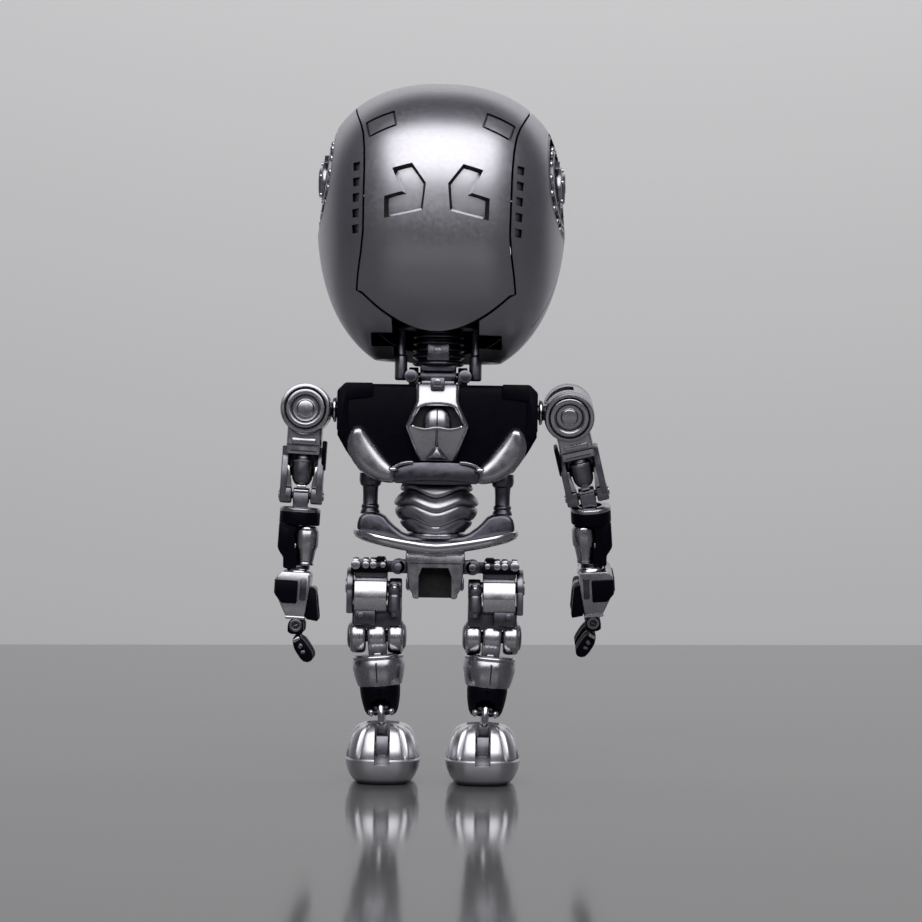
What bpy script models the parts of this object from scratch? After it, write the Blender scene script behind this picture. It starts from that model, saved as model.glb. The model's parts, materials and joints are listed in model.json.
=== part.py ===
"""Posable humanoid robot figure: a 140 mm tall kit with a large plated head on a slim jointed frame.

Metres, +Z up. The robot stands on Z = 0, faces -Y and has its left side at +X.
Sizes below are in millimetres and each builder turns them into metres once.
Every limb is built on a chain of empties, one for each joint, so a moving piece
has its parent empty on its joint's axis. Side is +1 for the left and -1 for the right.
"""
import math

import bmesh
import bpy
from mathutils import Matrix

MM = 0.001

# Where the middle of the stance lies, so that the origin is the bottom centre of the figure's box.
STANCE_X = 2.16
STANCE_Y = 0.16

# Head: a rounded box-like ball, and the panels cut from its wall.
HEAD_Z = 115.0
HEAD_HALF_WIDTH = 24.8
HEAD_HALF_DEPTH = 26.0
HEAD_UP = 24.2
HEAD_DOWN = 34.0
HEAD_POWER = 2.35
HEAD_TUCK = 0.6
HEAD_WALL = 1.8
HEAD_RIM_Z = 84.2
HEAD_YAW = -2.0
SEAM_X = 14.0
SEAM_GAP = 0.3
FACE_Y = -12.15
BROW_Z = 118.85
NECK_HOLE = 10.5
NECK_HOLE_TOP = 93.0
EAR_Y = 3.6
EAR_Z = 119.0
EAR_RADII = (11.6, 10.5)
POCKET = (6.2, 115.6)
EYE_X = 9.0
EYE_Z = 108.0
EYE_RADIUS = 4.3
MOUTH_SLOTS = ((5.0, 97.2), (4.4, 95.2), (3.6, 93.2))

# Neck.
NECK_PIVOT_Z = 81.0
NECK_COLLAR_Z = 91.1
NECK_STRUT = (7.4, 2.5)

# Torso.
CHEST_HALF_WIDTH = 20.0
CHEST_TOP = 79.6
CHEST_BOTTOM = 61.8
CHEST_BACK = 7.7
CHEST_FRONT = -8.3
WAIST_TOP = 59.2
WAIST_BOTTOM = 49.1
WAIST_STRUT_X = 13.2
HIP_PLATE_Z = 46.8

# Arms, measured down from the shoulder drum's centre.
SHOULDER_Z = 74.4
SHOULDER_X = 20.2
DRUM_OUT = 6.0
DRUM_RADIUS = 5.0
DRUM_HALF_LENGTH = 5.0
ELBOW_DROP = 17.4
TILT_DROP = 3.4
WRIST_DROP = 11.7
KNUCKLE_DROP = 10.6
TIP_DROP = 2.8
REST_SWING = {1: 0.0, -1: -14.0}
REST_SPLAY = {1: 2.8, -1: 13.7}
REST_TILT = {1: 0.0, -1: -9.4}
FINGER_CURL = 35.0
FINGER_ROWS = (-4.0, -2.0, 2.0, 4.0)

# Legs.
HIP_RAISE = (7.4, 43.2)
HIP_X = 11.5
HIP_Z = 39.2
KNEE_DROP = 10.0
SHIN_TILT = 4.3
ANKLE_DROP = 14.6
ROLL_DROP = 5.9
FOOT_HEEL_Y = 8.0
FOOT_TOE_Y = -16.0

PALETTE = {
    "plated_silver": ((0.42, 0.41, 0.45), 0.28, 1.0),
    "bright_chrome": ((0.78, 0.77, 0.80), 0.10, 1.0),
    "gunmetal": ((0.16, 0.155, 0.18), 0.35, 1.0),
    "gloss_black": ((0.012, 0.011, 0.016), 0.22, 0.0),
    "lens_glass": ((0.03, 0.05, 0.07), 0.05, 0.0),
}


def clear_scene():
    for thing in list(bpy.data.objects):
        bpy.data.objects.remove(thing)


def collection(name):
    group = bpy.data.collections.new(name)
    bpy.context.scene.collection.children.link(group)
    return group


def make_finish(name):
    colour, roughness, metallic = PALETTE[name]
    finish = bpy.data.materials.new(name)
    finish.use_nodes = True
    shader = finish.node_tree.nodes["Principled BSDF"]
    shader.inputs["Base Color"].default_value = (*colour, 1.0)
    shader.inputs["Roughness"].default_value = roughness
    shader.inputs["Metallic"].default_value = metallic
    return finish


# ---------------------------------------------------------------- shapes
def put(thing, at=(0, 0, 0), turn=(0, 0, 0)):
    """Places a shape in its joint's frame: at in millimetres, turn in degrees."""
    thing.location = [v * MM for v in at]
    thing.rotation_euler = [math.radians(a) for a in turn]
    return thing


def from_bmesh(form):
    mesh = bpy.data.meshes.new("shape")
    form.to_mesh(mesh)
    form.free()
    return bpy.data.objects.new("shape", mesh)


def soften(thing, width, segments=1):
    """Rounds the shape's sharp edges with a Bevel modifier."""
    if width:
        edge = thing.modifiers.new("rounding", "BEVEL")
        edge.width = width * MM
        edge.segments = segments
        edge.limit_method = "ANGLE"
        edge.angle_limit = math.radians(40)
    return thing


def block(low, high, rounding=0.0, turn=(0, 0, 0)):
    """A box between two opposite corners."""
    size = [(b - a) * MM for a, b in zip(low, high)]
    middle = [(a + b) / 2 for a, b in zip(low, high)]
    form = bmesh.new()
    bmesh.ops.create_cube(form, size=1.0)
    bmesh.ops.scale(form, vec=size, verts=form.verts)
    return put(soften(from_bmesh(form), rounding), middle, turn)


def span(side, near, far):
    """A range in X from its outward distances."""
    return sorted((side * near, side * far))


def side_block(side, low, high, rounding=0.0):
    """A box whose X is measured outwards."""
    near, far = span(side, low[0], high[0])
    return block((near, *low[1:]), (far, *high[1:]), rounding)


AXIS_TURN = {"X": (0, 90, 0), "Y": (-90, 0, 0), "Z": (0, 0, 0)}


def drum(radius, start, end, axis, at=(0, 0, 0), rounding=0.0, sides=14, stretch=1.0):
    """A cylinder along an axis, from start to end along that axis, past the point at."""
    form = bmesh.new()
    size = radius * MM
    length = (end - start) * MM
    bmesh.ops.create_cone(form, cap_ends=True, segments=sides, radius1=size, radius2=size, depth=length)
    bmesh.ops.scale(form, vec=(1, stretch, 1), verts=form.verts)
    centre = list(at)
    centre["XYZ".index(axis)] += (start + end) / 2
    return put(soften(from_bmesh(form), rounding), centre, AXIS_TURN[axis])


def turned(profile, axis, at=(0, 0, 0), sides=14, depth=1.0):
    """A lathe shape: (radius, height) points from its top on the axis down to its bottom on the axis."""
    form = bmesh.new()
    ring = [form.verts.new((r * MM, 0, h * MM)) for r, h in profile]
    for one, two in zip(ring, ring[1:]):
        form.edges.new((one, two))
    thing = from_bmesh(form)
    lathe = thing.modifiers.new("lathe", "SCREW")
    lathe.steps = sides
    lathe.render_steps = sides
    lathe.use_merge_vertices = True
    lathe.merge_threshold = 0.00001
    if depth != 1.0:
        thing = flatten(thing, depth)
    return put(thing, at, AXIS_TURN[axis])


def flatten(thing, depth):
    """Applies the modifiers and squeezes the shape along its own Y."""
    mesh = evaluated(thing)
    mesh.transform(Matrix.Diagonal((1, depth, 1, 1)))
    return bpy.data.objects.new("shape", mesh)


def evaluated(thing):
    """The thing's final mesh, with touching caps welded and all faces outwards."""
    bpy.context.scene.collection.objects.link(thing)
    graph = bpy.context.evaluated_depsgraph_get()
    mesh = bpy.data.meshes.new_from_object(thing.evaluated_get(graph))
    bpy.data.objects.remove(thing)
    form = bmesh.new()
    form.from_mesh(mesh)
    bmesh.ops.remove_doubles(form, verts=form.verts, dist=0.000001)
    bmesh.ops.recalc_face_normals(form, faces=form.faces)
    form.to_mesh(mesh)
    form.free()
    return mesh


SLAB_TURN = {"X": (90, 0, 90), "Y": (90, 0, 0), "Z": (0, 0, 0)}


def slab(outline, start, end, axis, rounding=0.0, flip=1):
    """A flat outline with thickness from start to end along axis. The outline is in XZ, YZ or XY;
    flip mirrors its first coordinate."""
    curve = bpy.data.curves.new("outline", "CURVE")
    curve.dimensions = "2D"
    curve.fill_mode = "BOTH"
    curve.extrude = abs(end - start) / 2 * MM
    spline = curve.splines.new("POLY")
    spline.points.add(len(outline) - 1)
    for point, (u, v) in zip(spline.points, outline):
        point.co = (u * flip * MM, v * MM, 0, 1)
    spline.use_cyclic_u = True
    thing = bpy.data.objects.new("shape", evaluated(bpy.data.objects.new("outline", curve)))
    centre = [0, 0, 0]
    centre["XYZ".index(axis)] = (start + end) / 2
    return put(soften(thing, rounding), centre, SLAB_TURN[axis])


def dome(radii, down, power, at, around=14, along=8):
    """A squarish ball: radii are its half sizes in X, Y and up, down its half size below its middle."""
    form = bmesh.new()
    bmesh.ops.create_uvsphere(form, u_segments=around, v_segments=along, radius=1.0)
    for vert in form.verts:
        x, y, z = [math.copysign(abs(v) ** (2 / power), v) for v in vert.co]
        vert.co = (x * radii[0] * MM, y * radii[1] * MM, z * (radii[2] if z > 0 else down) * MM)
    return put(from_bmesh(form), at)


# ---------------------------------------------------------------- joining
def add(shape):
    return "UNION", shape


def cut(shape):
    return "DIFFERENCE", shape


def keep(shape):
    return "INTERSECT", shape


def piece(name, home, finish, base, *steps):
    """One named part: a base shape in its joint's frame, then shapes joined or cut, in order."""
    base.name = name
    base.data.materials.clear()
    base.data.materials.append(finishes[finish])
    parts.objects.link(base)
    base.parent = home
    for number, (kind, tool) in enumerate(steps):
        tool.name = f"{name}_tool_{number}"
        tools.objects.link(tool)
        tool.parent = home
        tool.hide_render = True
        tool.display_type = "WIRE"
        join = base.modifiers.new(tool.name, "BOOLEAN")
        join.operation = kind
        join.object = tool
    base.data.shade_smooth()
    base.data.set_sharp_from_angle(angle=math.radians(35))
    return base


def frame(name, parent, at, turn=(0, 0, 0)):
    """An empty on a joint's axis."""
    empty = bpy.data.objects.new(name, None)
    parts.objects.link(empty)
    empty.empty_display_size = 5 * MM
    empty.parent = parent
    return put(empty, at, turn)


# ---------------------------------------------------------------- head
def head_ball(shrink):
    """The head's outer form, drawn in by shrink, as one closed ball."""
    form = bmesh.new()
    bmesh.ops.create_uvsphere(form, u_segments=24, v_segments=14, radius=1.0)
    for vert in form.verts:
        x, y, z = [math.copysign(abs(v) ** (2 / HEAD_POWER), v) for v in vert.co]
        tuck = 1 - HEAD_TUCK * max(0.0, -z) ** 3 if y > 0 else 1.0
        height = (HEAD_UP if z > 0 else HEAD_DOWN) - shrink
        vert.co = (
            x * (HEAD_HALF_WIDTH - shrink) * MM,
            y * (HEAD_HALF_DEPTH - shrink) * tuck * MM,
            (HEAD_Z + z * height) * MM,
        )
    return from_bmesh(form)


def head_wall():
    """The head's wall: the outer form with its inside taken out, open at the bottom round the neck."""
    ball = head_ball(0.0)
    shell = ball.modifiers.new("wall", "SOLIDIFY")
    shell.thickness = HEAD_WALL * MM
    shell.offset = -1
    shell.use_even_offset = True
    return ball


def neck_way():
    """What the head's wall leaves open for the neck."""
    floor = block((-40, -40, 70), (40, 40, HEAD_RIM_Z))
    hole = drum(NECK_HOLE, 72.0, NECK_HOLE_TOP, "Z", sides=18)
    return [cut(floor), cut(hole)]


def panel_region(low_x, high_x):
    """A slice of the head between two side seams: all behind the ears, and the brow in front."""
    face, brow = FACE_Y + SEAM_GAP / 2, BROW_Z + SEAM_GAP / 2
    outline = [(face, 60), (40, 60), (40, 150), (-40, 150), (-40, brow), (face, brow)]
    return keep(slab(outline, low_x, high_x, "X"))


def pocket(side):
    """A shallow bent pocket in the back of the crown."""
    x, z = POCKET
    outline = [(8.7, 120.0), (4.9, 121.0), (2.1, 117.2), (2.6, 112.0), (10.0, 110.4), (10.1, 114.6),
               (6.7, 115.5)]
    shape = slab([(u - x, v - z) for u, v in outline], -2.0, 2.0, "Y", flip=side)
    return cut(put(shape, (side * x, HEAD_HALF_DEPTH + 0.6, z), (90, 0, -side * 9.5)))


def ear_plug(side, near, room):
    """The oval rod that opens or fills an ear, with room to spare round it."""
    across, tall = (radius + room for radius in EAR_RADII)
    return drum(tall, *span(side, near, 30.0), "X", (0, EAR_Y, EAR_Z), sides=24, stretch=across / tall)


def build_head(home):
    piece("crown_shell", home, "plated_silver", head_wall(),
          panel_region(-SEAM_X + SEAM_GAP / 2, SEAM_X - SEAM_GAP / 2), *neck_way(), pocket(1), pocket(-1))
    for side, word in SIDES:
        near = SEAM_X + SEAM_GAP / 2
        piece(f"{word}_side_shell", home, "plated_silver", head_wall(), panel_region(*span(side, near, 40.0)),
              *neck_way(), cut(ear_plug(side, near, 0.3)))
        piece(f"{word}_ear_pod", home, "gunmetal", ear_plug(side, 20.6, 0.0), keep(head_ball(0.6)))
    half_gap = SEAM_GAP / 2
    face = block((-40, -40, 60), (40, FACE_Y - half_gap, BROW_Z - half_gap))
    eyes = [(side * EYE_X, 0, EYE_Z) for side, _ in SIDES]
    holes = [cut(drum(EYE_RADIUS + 0.3, -32, -18, "Y", eye, sides=18)) for eye in eyes]
    slots = [cut(block((-half, -32, z), (half, -18, z + 1.0))) for half, z in MOUTH_SLOTS]
    piece("face_mask", home, "plated_silver", head_wall(), keep(face), *neck_way(), *holes, *slots)
    for side, word in SIDES:
        lens = [(0, 1.6), (2.2, 1.2), (3.7, 0.2), (EYE_RADIUS, -1.0), (EYE_RADIUS, -2.6), (0, -2.6)]
        glass = turned(lens, "Z", sides=18)
        piece(f"{word}_eye_lens", home, "lens_glass", put(glass, (side * EYE_X, -24.4, EYE_Z), (90, 0, 0)))
    floor = block((-30, -30, 93.0), (30, 30, 95.4))
    piece("head_base", home, "gloss_black", floor, keep(head_ball(HEAD_WALL + 0.5)),
          add(drum(6.0, NECK_COLLAR_Z + 0.9, 95.0, "Z", sides=18)), cut(drum(3.3, 80, 100, "Z")))


def build_neck(home):
    """The neck turns on the pin between the chest's two ears; its strut pair rises beside the column."""
    up = -NECK_PIVOT_Z
    profile = [(0, 96.7), (4.2, 96.7), (4.2, 95.8), (3.0, 95.8), (3.0, 91.7), (8.8, 91.7), (8.8, 90.6),
               (4.4, 90.6), (5.0, 88.8), (4.4, 87.6), (5.0, 86.2), (4.4, 85.0), (5.0, 83.3), (0, 83.3)]
    column = turned([(r, z + up) for r, z in profile], "Z", sides=16)
    piece("neck_column", home, "gunmetal", column,
          add(block((-3.3, -2.2, 0), (3.3, 2.2, 3.0))),
          add(drum(2.5, -3.6, 3.6, "X")), add(drum(1.0, -6.0, 6.0, "X", sides=8)))
    x, y = NECK_STRUT
    for side, word in SIDES:
        strut = [(0, 9.2), (0.8, 9.2), (0.8, 6.6), (1.2, 6.4), (1.2, 2.2), (0.9, 2.0), (0.9, 1.3), (0, 1.3)]
        piece(f"{word}_neck_strut", home, "plated_silver", turned(strut, "Z", (side * x, y, 0), sides=8))


# ---------------------------------------------------------------- torso
def mirrored(half):
    """A closed outline from its right half, listed from the top down."""
    return half + [(-x, z) for x, z in reversed(half)]


def build_torso(home):
    wide = CHEST_HALF_WIDTH
    half = [(wide - 2.0, CHEST_TOP), (wide, 77.8), (wide, 69.2), (18.4, 66.4), (15.2, CHEST_BOTTOM)]
    chest = slab(mirrored(half), CHEST_FRONT, CHEST_BACK, "Y", 0.8)
    steps = []
    for side, _ in SIDES:
        steps.append(add(drum(2.0, *span(side, 3.9, 5.9), "X", (0, 0, NECK_PIVOT_Z))))
        steps.append(add(side_block(side, (3.9, -2.0, 78.6), (5.9, 2.0, NECK_PIVOT_Z))))
        steps.append(cut(drum(1.95, *span(side, 14.0, 22.0), "X", (0, 0, SHOULDER_Z), sides=8)))
    steps.append(cut(drum(2.85, -3.85, 3.85, "X", (0, 0, NECK_PIVOT_Z))))
    steps.append(cut(drum(1.3, -7.0, 7.0, "X", (0, 0, NECK_PIVOT_Z), sides=8)))
    piece("chest_block", home, "gloss_black", chest, *steps)
    build_spine(home)
    build_ribs(home)
    build_waist(home)
    build_pelvis(home)


def build_spine(home):
    """The silver plate down the back of the chest, with its window and the motor dome in it."""
    back = CHEST_BACK + 0.3
    outline = mirrored([(4.3, 79.3), (4.3, 75.6), (6.2, 71.3), (4.1, 64.5)])
    window = mirrored([(3.2, 75.0), (5.5, 71.4), (4.9, 70.3)])
    motor = [(0, 1.3), (1.7, 1.1), (2.7, 0.5), (3.1, -0.6), (0, -0.6)]
    piece("spine_plate", home, "plated_silver", slab(outline, back, back + 2.3, "Y", 0.3),
          cut(slab(window, back + 0.8, back + 4, "Y")),
          add(put(turned(motor, "Z", sides=18), (0, back + 0.9, 72.6), (-90, 0, 0))),
          add(block((-1.4, back + 1.0, 76.6), (1.4, back + 2.7, 79.3), 0.3)))


def build_ribs(home):
    """Two rib arms that sweep down the back of the chest to a collar above the waist."""
    back = CHEST_BACK + 0.3
    half = [(4.4, 64.1), (6.9, 63.7), (8.5, 63.0), (11.5, 64.7), (14.2, 69.1), (15.8, 70.9), (16.8, 70.2),
            (17.7, 67.3), (16.0, 63.5), (11.5, 60.6), (8.0, 59.5)]
    yoke = slab(mirrored(half), back, back + 2.6, "Y", 0.5)
    spine_room = slab(mirrored([(4.5, 79.6), (6.5, 71.3), (4.4, 64.2)]), 6, 14, "Y")
    piece("rib_yoke", home, "plated_silver", yoke, cut(spine_room),
          add(drum(7.2, 59.5, CHEST_BOTTOM - 0.4, "Z", sides=18)),
          add(block((-7.0, 0, 59.5), (7.0, back + 1.6, CHEST_BOTTOM - 0.4))))


def build_waist(home):
    profile = [(0, 59.2), (5.6, 59.2), (6.3, 58.3), (5.6, 57.4), (7.2, 56.4), (6.3, 55.4), (8.6, 54.2),
               (7.3, 52.9), (7.9, 51.9), (6.6, 51.0), (6.2, 50.0), (5.4, WAIST_BOTTOM), (0, WAIST_BOTTOM)]
    piece("waist_bellows", home, "plated_silver", turned(profile, "Z", sides=24, depth=0.8))
    for side, word in SIDES:
        strut = [(0, 61.4), (2.1, 61.4), (2.1, 60.0), (1.6, 59.4), (1.6, 55.6), (1.9, 55.2), (1.9, 54.3),
                 (0, 54.3)]
        foot_at = (side * WAIST_STRUT_X, 0, 0)
        piece(f"{word}_waist_strut", home, "gunmetal", turned(strut, "Z", foot_at, sides=8))


def build_pelvis(home):
    half = [(3.0, 48.8), (7.2, 49.3), (9.2, 52.2), (11.4, 54.0), (15.0, 53.8), (15.8, 51.4), (16.4, 50.4),
            (16.4, 49.2), (9.0, 47.4), (3.4, HIP_PLATE_Z)]
    piece("pelvis_wings", home, "plated_silver", slab(mirrored(half), -7.0, 7.0, "Y", 0.6))
    top = HIP_PLATE_Z - 0.3
    sides = mirrored([(5.6, top), (5.6, 38.9), (4.5, 38.3), (4.5, 37.0)])
    steps = []
    x, z = HIP_RAISE
    for side, _ in SIDES:
        for low, high in ((-3.6, -1.9), (1.9, 3.6)):
            near, far = sorted((side * 4.6, side * (x - 0.3)))
            steps.append(add(block((near, low, z - 1.3), (far, high, z + 1.3))))
            steps.append(add(drum(1.5, low, high, "Y", (side * x, 0, z))))
        steps.append(cut(drum(1.1, -6, 6, "Y", (side * x, 0, z), sides=12)))
    socket = mirrored([(2.6, 43.2), (3.4, 41.4), (3.4, 36.0)])
    steps.append(cut(slab(socket, 0.6, 8.0, "Y")))
    piece("pelvis_block", home, "plated_silver", slab(sides, -5.6, 5.6, "Y", 0.5), *steps)


# ---------------------------------------------------------------- arms
def arm_frames(figure, side, word):
    """The arm's joint chain, from the axle in the chest to the fingertips."""
    top = (side * SHOULDER_X, 0, SHOULDER_Z)
    swing = frame(f"{word}_shoulder_swing_axis", figure, top, (REST_SWING[side], 0, 0))
    splay = (0, -side * REST_SPLAY[side], 0)
    lift = frame(f"{word}_shoulder_raise_axis", swing, (side * DRUM_OUT, 0, 0), splay)
    elbow = frame(f"{word}_elbow_axis", lift, (0, 0, -ELBOW_DROP))
    tilt = frame(f"{word}_forearm_tilt_axis", elbow, (0, 0, -TILT_DROP), (0, -side * REST_TILT[side], 0))
    wrist = frame(f"{word}_wrist_axis", tilt, (0, 0, -WRIST_DROP))
    knuckle = frame(f"{word}_knuckle_axis", wrist, (-side * 0.8, 0, -KNUCKLE_DROP))
    tip = frame(f"{word}_fingertip_axis", knuckle, (-side * 0.3, 0, -TIP_DROP), (0, side * FINGER_CURL, 0))
    thumb = frame(f"{word}_thumb_axis", wrist, (-side * 3.3, 0, -4.0))
    return swing, lift, elbow, tilt, wrist, knuckle, tip, thumb


def build_shoulder(swing, lift, side, word):
    pin = drum(1.6, *span(side, -5.6, 2.4), "X", sides=8)
    piece(f"{word}_shoulder_axle", swing, "bright_chrome", pin,
          add(drum(2.6, *span(side, 0.1, 0.6), "X")),
          add(side_block(side, (0.4, -1.3, -1.4), (4.0, 1.3, 1.4))),
          add(drum(3.8, -1.3, 1.3, "Y", (side * DRUM_OUT, 0, 0), sides=18)),
          cut(drum(1.8, -4, 4, "Y", (side * DRUM_OUT, 0, 0), sides=8)))
    half = DRUM_HALF_LENGTH
    barrel = drum(DRUM_RADIUS, -half, half, "Y", rounding=0.4, sides=18)
    piece(f"{word}_shoulder_drum", lift, "plated_silver", barrel,
          cut(drum(4.2, -1.65, 1.65, "Y", sides=18)),
          cut(side_block(side, (-6, -1.65, -2.0), (2.0, 1.65, 6))),
          cut(drum(4.3, half - 0.8, half + 2, "Y", sides=18)),
          add(drum(1.5, -half + 0.5, half - 1.5, "Y", sides=8)))
    cap = [(0, 1.1), (1.6, 1.1), (1.7, 0.4), (2.7, 0.4), (2.9, 1.0), (3.9, 1.0), (4.0, 0.0), (0, 0.0)]
    piece(f"{word}_shoulder_cap", lift, "gunmetal",
          put(turned(cap, "Z", sides=18), (0, half - 0.5, 0), (-90, 0, 0)))


def build_upper_arm(home, word):
    yoke = block((-3.2, -2.8, -9.2), (3.2, 2.8, -5.35), 0.5)
    steps = []
    for out in (1, -1):
        near, far = sorted((out * 2.9, out * 4.2))
        steps.append(add(block((near, -1.5, -ELBOW_DROP), (far, 2.4, -7.6))))
        near, far = sorted((out * 1.9, out * 4.2))
        steps.append(add(drum(1.6, near, far, "X", (0, 0, -ELBOW_DROP), sides=18)))
    steps.append(add(drum(0.7, -3.0, 3.0, "X", (0, 0, -ELBOW_DROP), sides=8)))
    piece(f"{word}_upper_arm_frame", home, "plated_silver", yoke, *steps)
    ram = [(0, -9.5), (1.5, -9.5), (1.5, -10.2), (2.1, -10.5), (2.1, -13.6), (1.6, -14.8), (0.8, -15.3),
           (0, -15.3)]
    piece(f"{word}_upper_arm_ram", home, "gunmetal", turned(ram, "Z", (0, 0.9, 0), sides=18))


def build_elbow(home, word):
    piece(f"{word}_elbow_block", home, "plated_silver", drum(1.6, -1.6, 1.6, "X", sides=18),
          add(block((-1.4, -1.3, -TILT_DROP), (1.4, 1.3, -0.6))),
          add(drum(1.4, -1.5, 1.5, "Y", (0, 0, -TILT_DROP), sides=8)),
          cut(drum(1.0, -3, 3, "X", sides=8)), cut(drum(0.8, -3, 3, "Y", (0, 0, -TILT_DROP), sides=8)))


def build_forearm(home, side, word):
    collar = drum(4.0, -2.4, 0.8, "Z", sides=16, rounding=0.3, stretch=0.9)
    outline = [(3.7, -2.0), (3.7, -7.6), (2.4, -9.0), (2.4, -11.3), (0.8, -11.3), (0.8, -2.0)]
    piece(f"{word}_forearm_shell", home, "gloss_black", collar,
          add(slab(outline, -2.7, 2.7, "Y", flip=side)),
          add(drum(2.6, -11.3, -10.4, "Z")),
          cut(block((-2.0, -1.85, -1.8), (2.0, 1.85, 2.0))),
          add(drum(0.5, -2.6, 2.6, "Y", sides=8)),
          cut(drum(1.2, -12.0, -10.0, "Z", sides=8)))
    ram = [(0, -2.7), (1.7, -2.7), (2.1, -3.1), (2.1, -5.0), (1.6, -9.4), (1.6, -10.1), (0, -10.1)]
    piece(f"{word}_forearm_ram", home, "plated_silver", turned(ram, "Z", (-side * 1.6, 0.4, 0), sides=18))


def build_hand(wrist, knuckle, tip, thumb, side, word):
    palm = [(-2.9, 0), (2.6, 0), (3.7, -1.2), (3.7, -4.4), (1.3, -9.0), (-2.4, -9.0), (-3.1, -3.4),
            (-3.1, -0.6)]
    shaft_x = -0.8 * side
    piece(f"{word}_hand_bracket", wrist, "plated_silver", slab(palm, -4.7, 4.7, "Y", 0.4, flip=side),
          cut(side_block(side, (-5.0, -5.5, -9.5), (-2.0, -0.95, -2.6))),
          add(drum(0.9, -0.5, 1.0, "Z", sides=8)),
          add(block((shaft_x - 1.1, -0.75, -KNUCKLE_DROP), (shaft_x + 1.1, 0.75, -8.6))),
          add(drum(1.1, -0.75, 0.75, "Y", (shaft_x, 0, -KNUCKLE_DROP), sides=18)),
          add(drum(1.2, -0.95, 1.3, "Y", (-side * 3.3, 0, -4.0), sides=8)),
          cut(drum(0.8, -2, 2, "Y", (shaft_x, 0, -KNUCKLE_DROP), sides=8)),
          cut(drum(0.75, -2, 2, "Y", (-side * 3.3, 0, -4.0), sides=8)))
    near = [(-1.5, -1.75), (-1.5, 0.1), (-1.0, 0.9), (-0.4, 1.2), (0.4, 1.2), (1.0, 0.9), (1.5, 0.1),
            (1.5, -1.75)]
    plates = [add(slab(near, y - 0.85, y + 0.85, "Y", flip=side)) for y in FINGER_ROWS]
    lug_x = -0.3 * side
    piece(f"{word}_finger_knuckles", knuckle, "gloss_black", drum(0.5, -4.2, 4.2, "Y", sides=8), *plates,
          add(block((lug_x - 0.8, -1.35, -2.0), (lug_x + 0.8, 1.35, -1.55))),
          add(block((lug_x - 0.8, -0.75, -TIP_DROP), (lug_x + 0.8, 0.75, -1.7))),
          add(drum(0.8, -0.75, 0.75, "Y", (lug_x, 0, -TIP_DROP), sides=8)),
          cut(drum(0.55, -1.1, 1.1, "Y", (lug_x, 0, -TIP_DROP), sides=8)))
    far = [(-0.45, 0.6), (0.45, 0.6), (0.72, 0.0), (1.3, -1.4), (1.2, -4.2), (0.3, -5.0), (-0.7, -5.0),
           (-1.3, -4.0), (-1.2, -1.0), (-0.72, 0.0)]
    plates = [add(slab(far, y - 0.8, y + 0.8, "Y", flip=side)) for y in FINGER_ROWS]
    piece(f"{word}_fingertips", tip, "gloss_black", drum(0.3, -4.2, 4.2, "Y", sides=8), *plates)
    outline = [(-0.9, 0.5), (-0.4, 1.0), (0.4, 1.0), (0.9, 0.5), (0.9, -4.6), (0.4, -5.4), (-0.9, -5.6),
               (-1.5, -4.8)]
    piece(f"{word}_thumb", thumb, "gloss_black", slab(outline, -3.7, -1.3, "Y", flip=side),
          add(drum(0.45, -2.0, 1.2, "Y", sides=8)))


# ---------------------------------------------------------------- legs
def leg_frames(figure, side, word):
    """The leg's joint chain, from the pelvis ears to the foot, whose sole stays level."""
    lift = frame(f"{word}_hip_raise_axis", figure, (side * HIP_RAISE[0], 0, HIP_RAISE[1]))
    out, down = HIP_X - HIP_RAISE[0], HIP_Z - HIP_RAISE[1]
    swing = frame(f"{word}_hip_swing_axis", lift, (side * out, 0, down))
    knee = frame(f"{word}_knee_axis", swing, (0, 0, -KNEE_DROP), (0, side * SHIN_TILT, 0))
    ankle = frame(f"{word}_ankle_pitch_axis", knee, (0, 0, -ANKLE_DROP))
    roll = frame(f"{word}_ankle_roll_axis", ankle, (0, 0, -ROLL_DROP), (0, -side * SHIN_TILT, 0))
    return lift, swing, knee, ankle, roll


def build_hip(home, side, word):
    """A cross block on a pin between the pelvis ears, with the thigh's swing drum under it."""
    drum_at = (side * (HIP_X - HIP_RAISE[0]), 0, HIP_Z - HIP_RAISE[1])
    outer, inner = span(side, drum_at[0] * side - 2.0, drum_at[0] * side + 4.4)
    steps = [
        add(drum(1.5, -1.6, 1.6, "Y", sides=18)),
        add(drum(0.8, -3.5, 3.5, "Y", sides=8)),
        add(side_block(side, (0.0, -1.5, -1.2), (3.0, 1.5, 1.0))),
        add(drum(3.1, outer, inner, "X", (0, 0, drum_at[2]), sides=18)),
        cut(drum(1.4, *span(side, -3.0, 14.0), "X", (0, 0, drum_at[2]), sides=8)),
    ]
    for out in (3.5, 5.6, 7.7):
        steps.insert(0, add(drum(1.2, *span(side, out - 0.75, out + 0.75), "X", (0, 2.6, 0.5), sides=6)))
    body = side_block(side, (2.4, -2.8, -2.2), (8.6, 2.8, 1.2), 0.3)
    piece(f"{word}_hip_block", home, "gunmetal", body, *steps)


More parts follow.
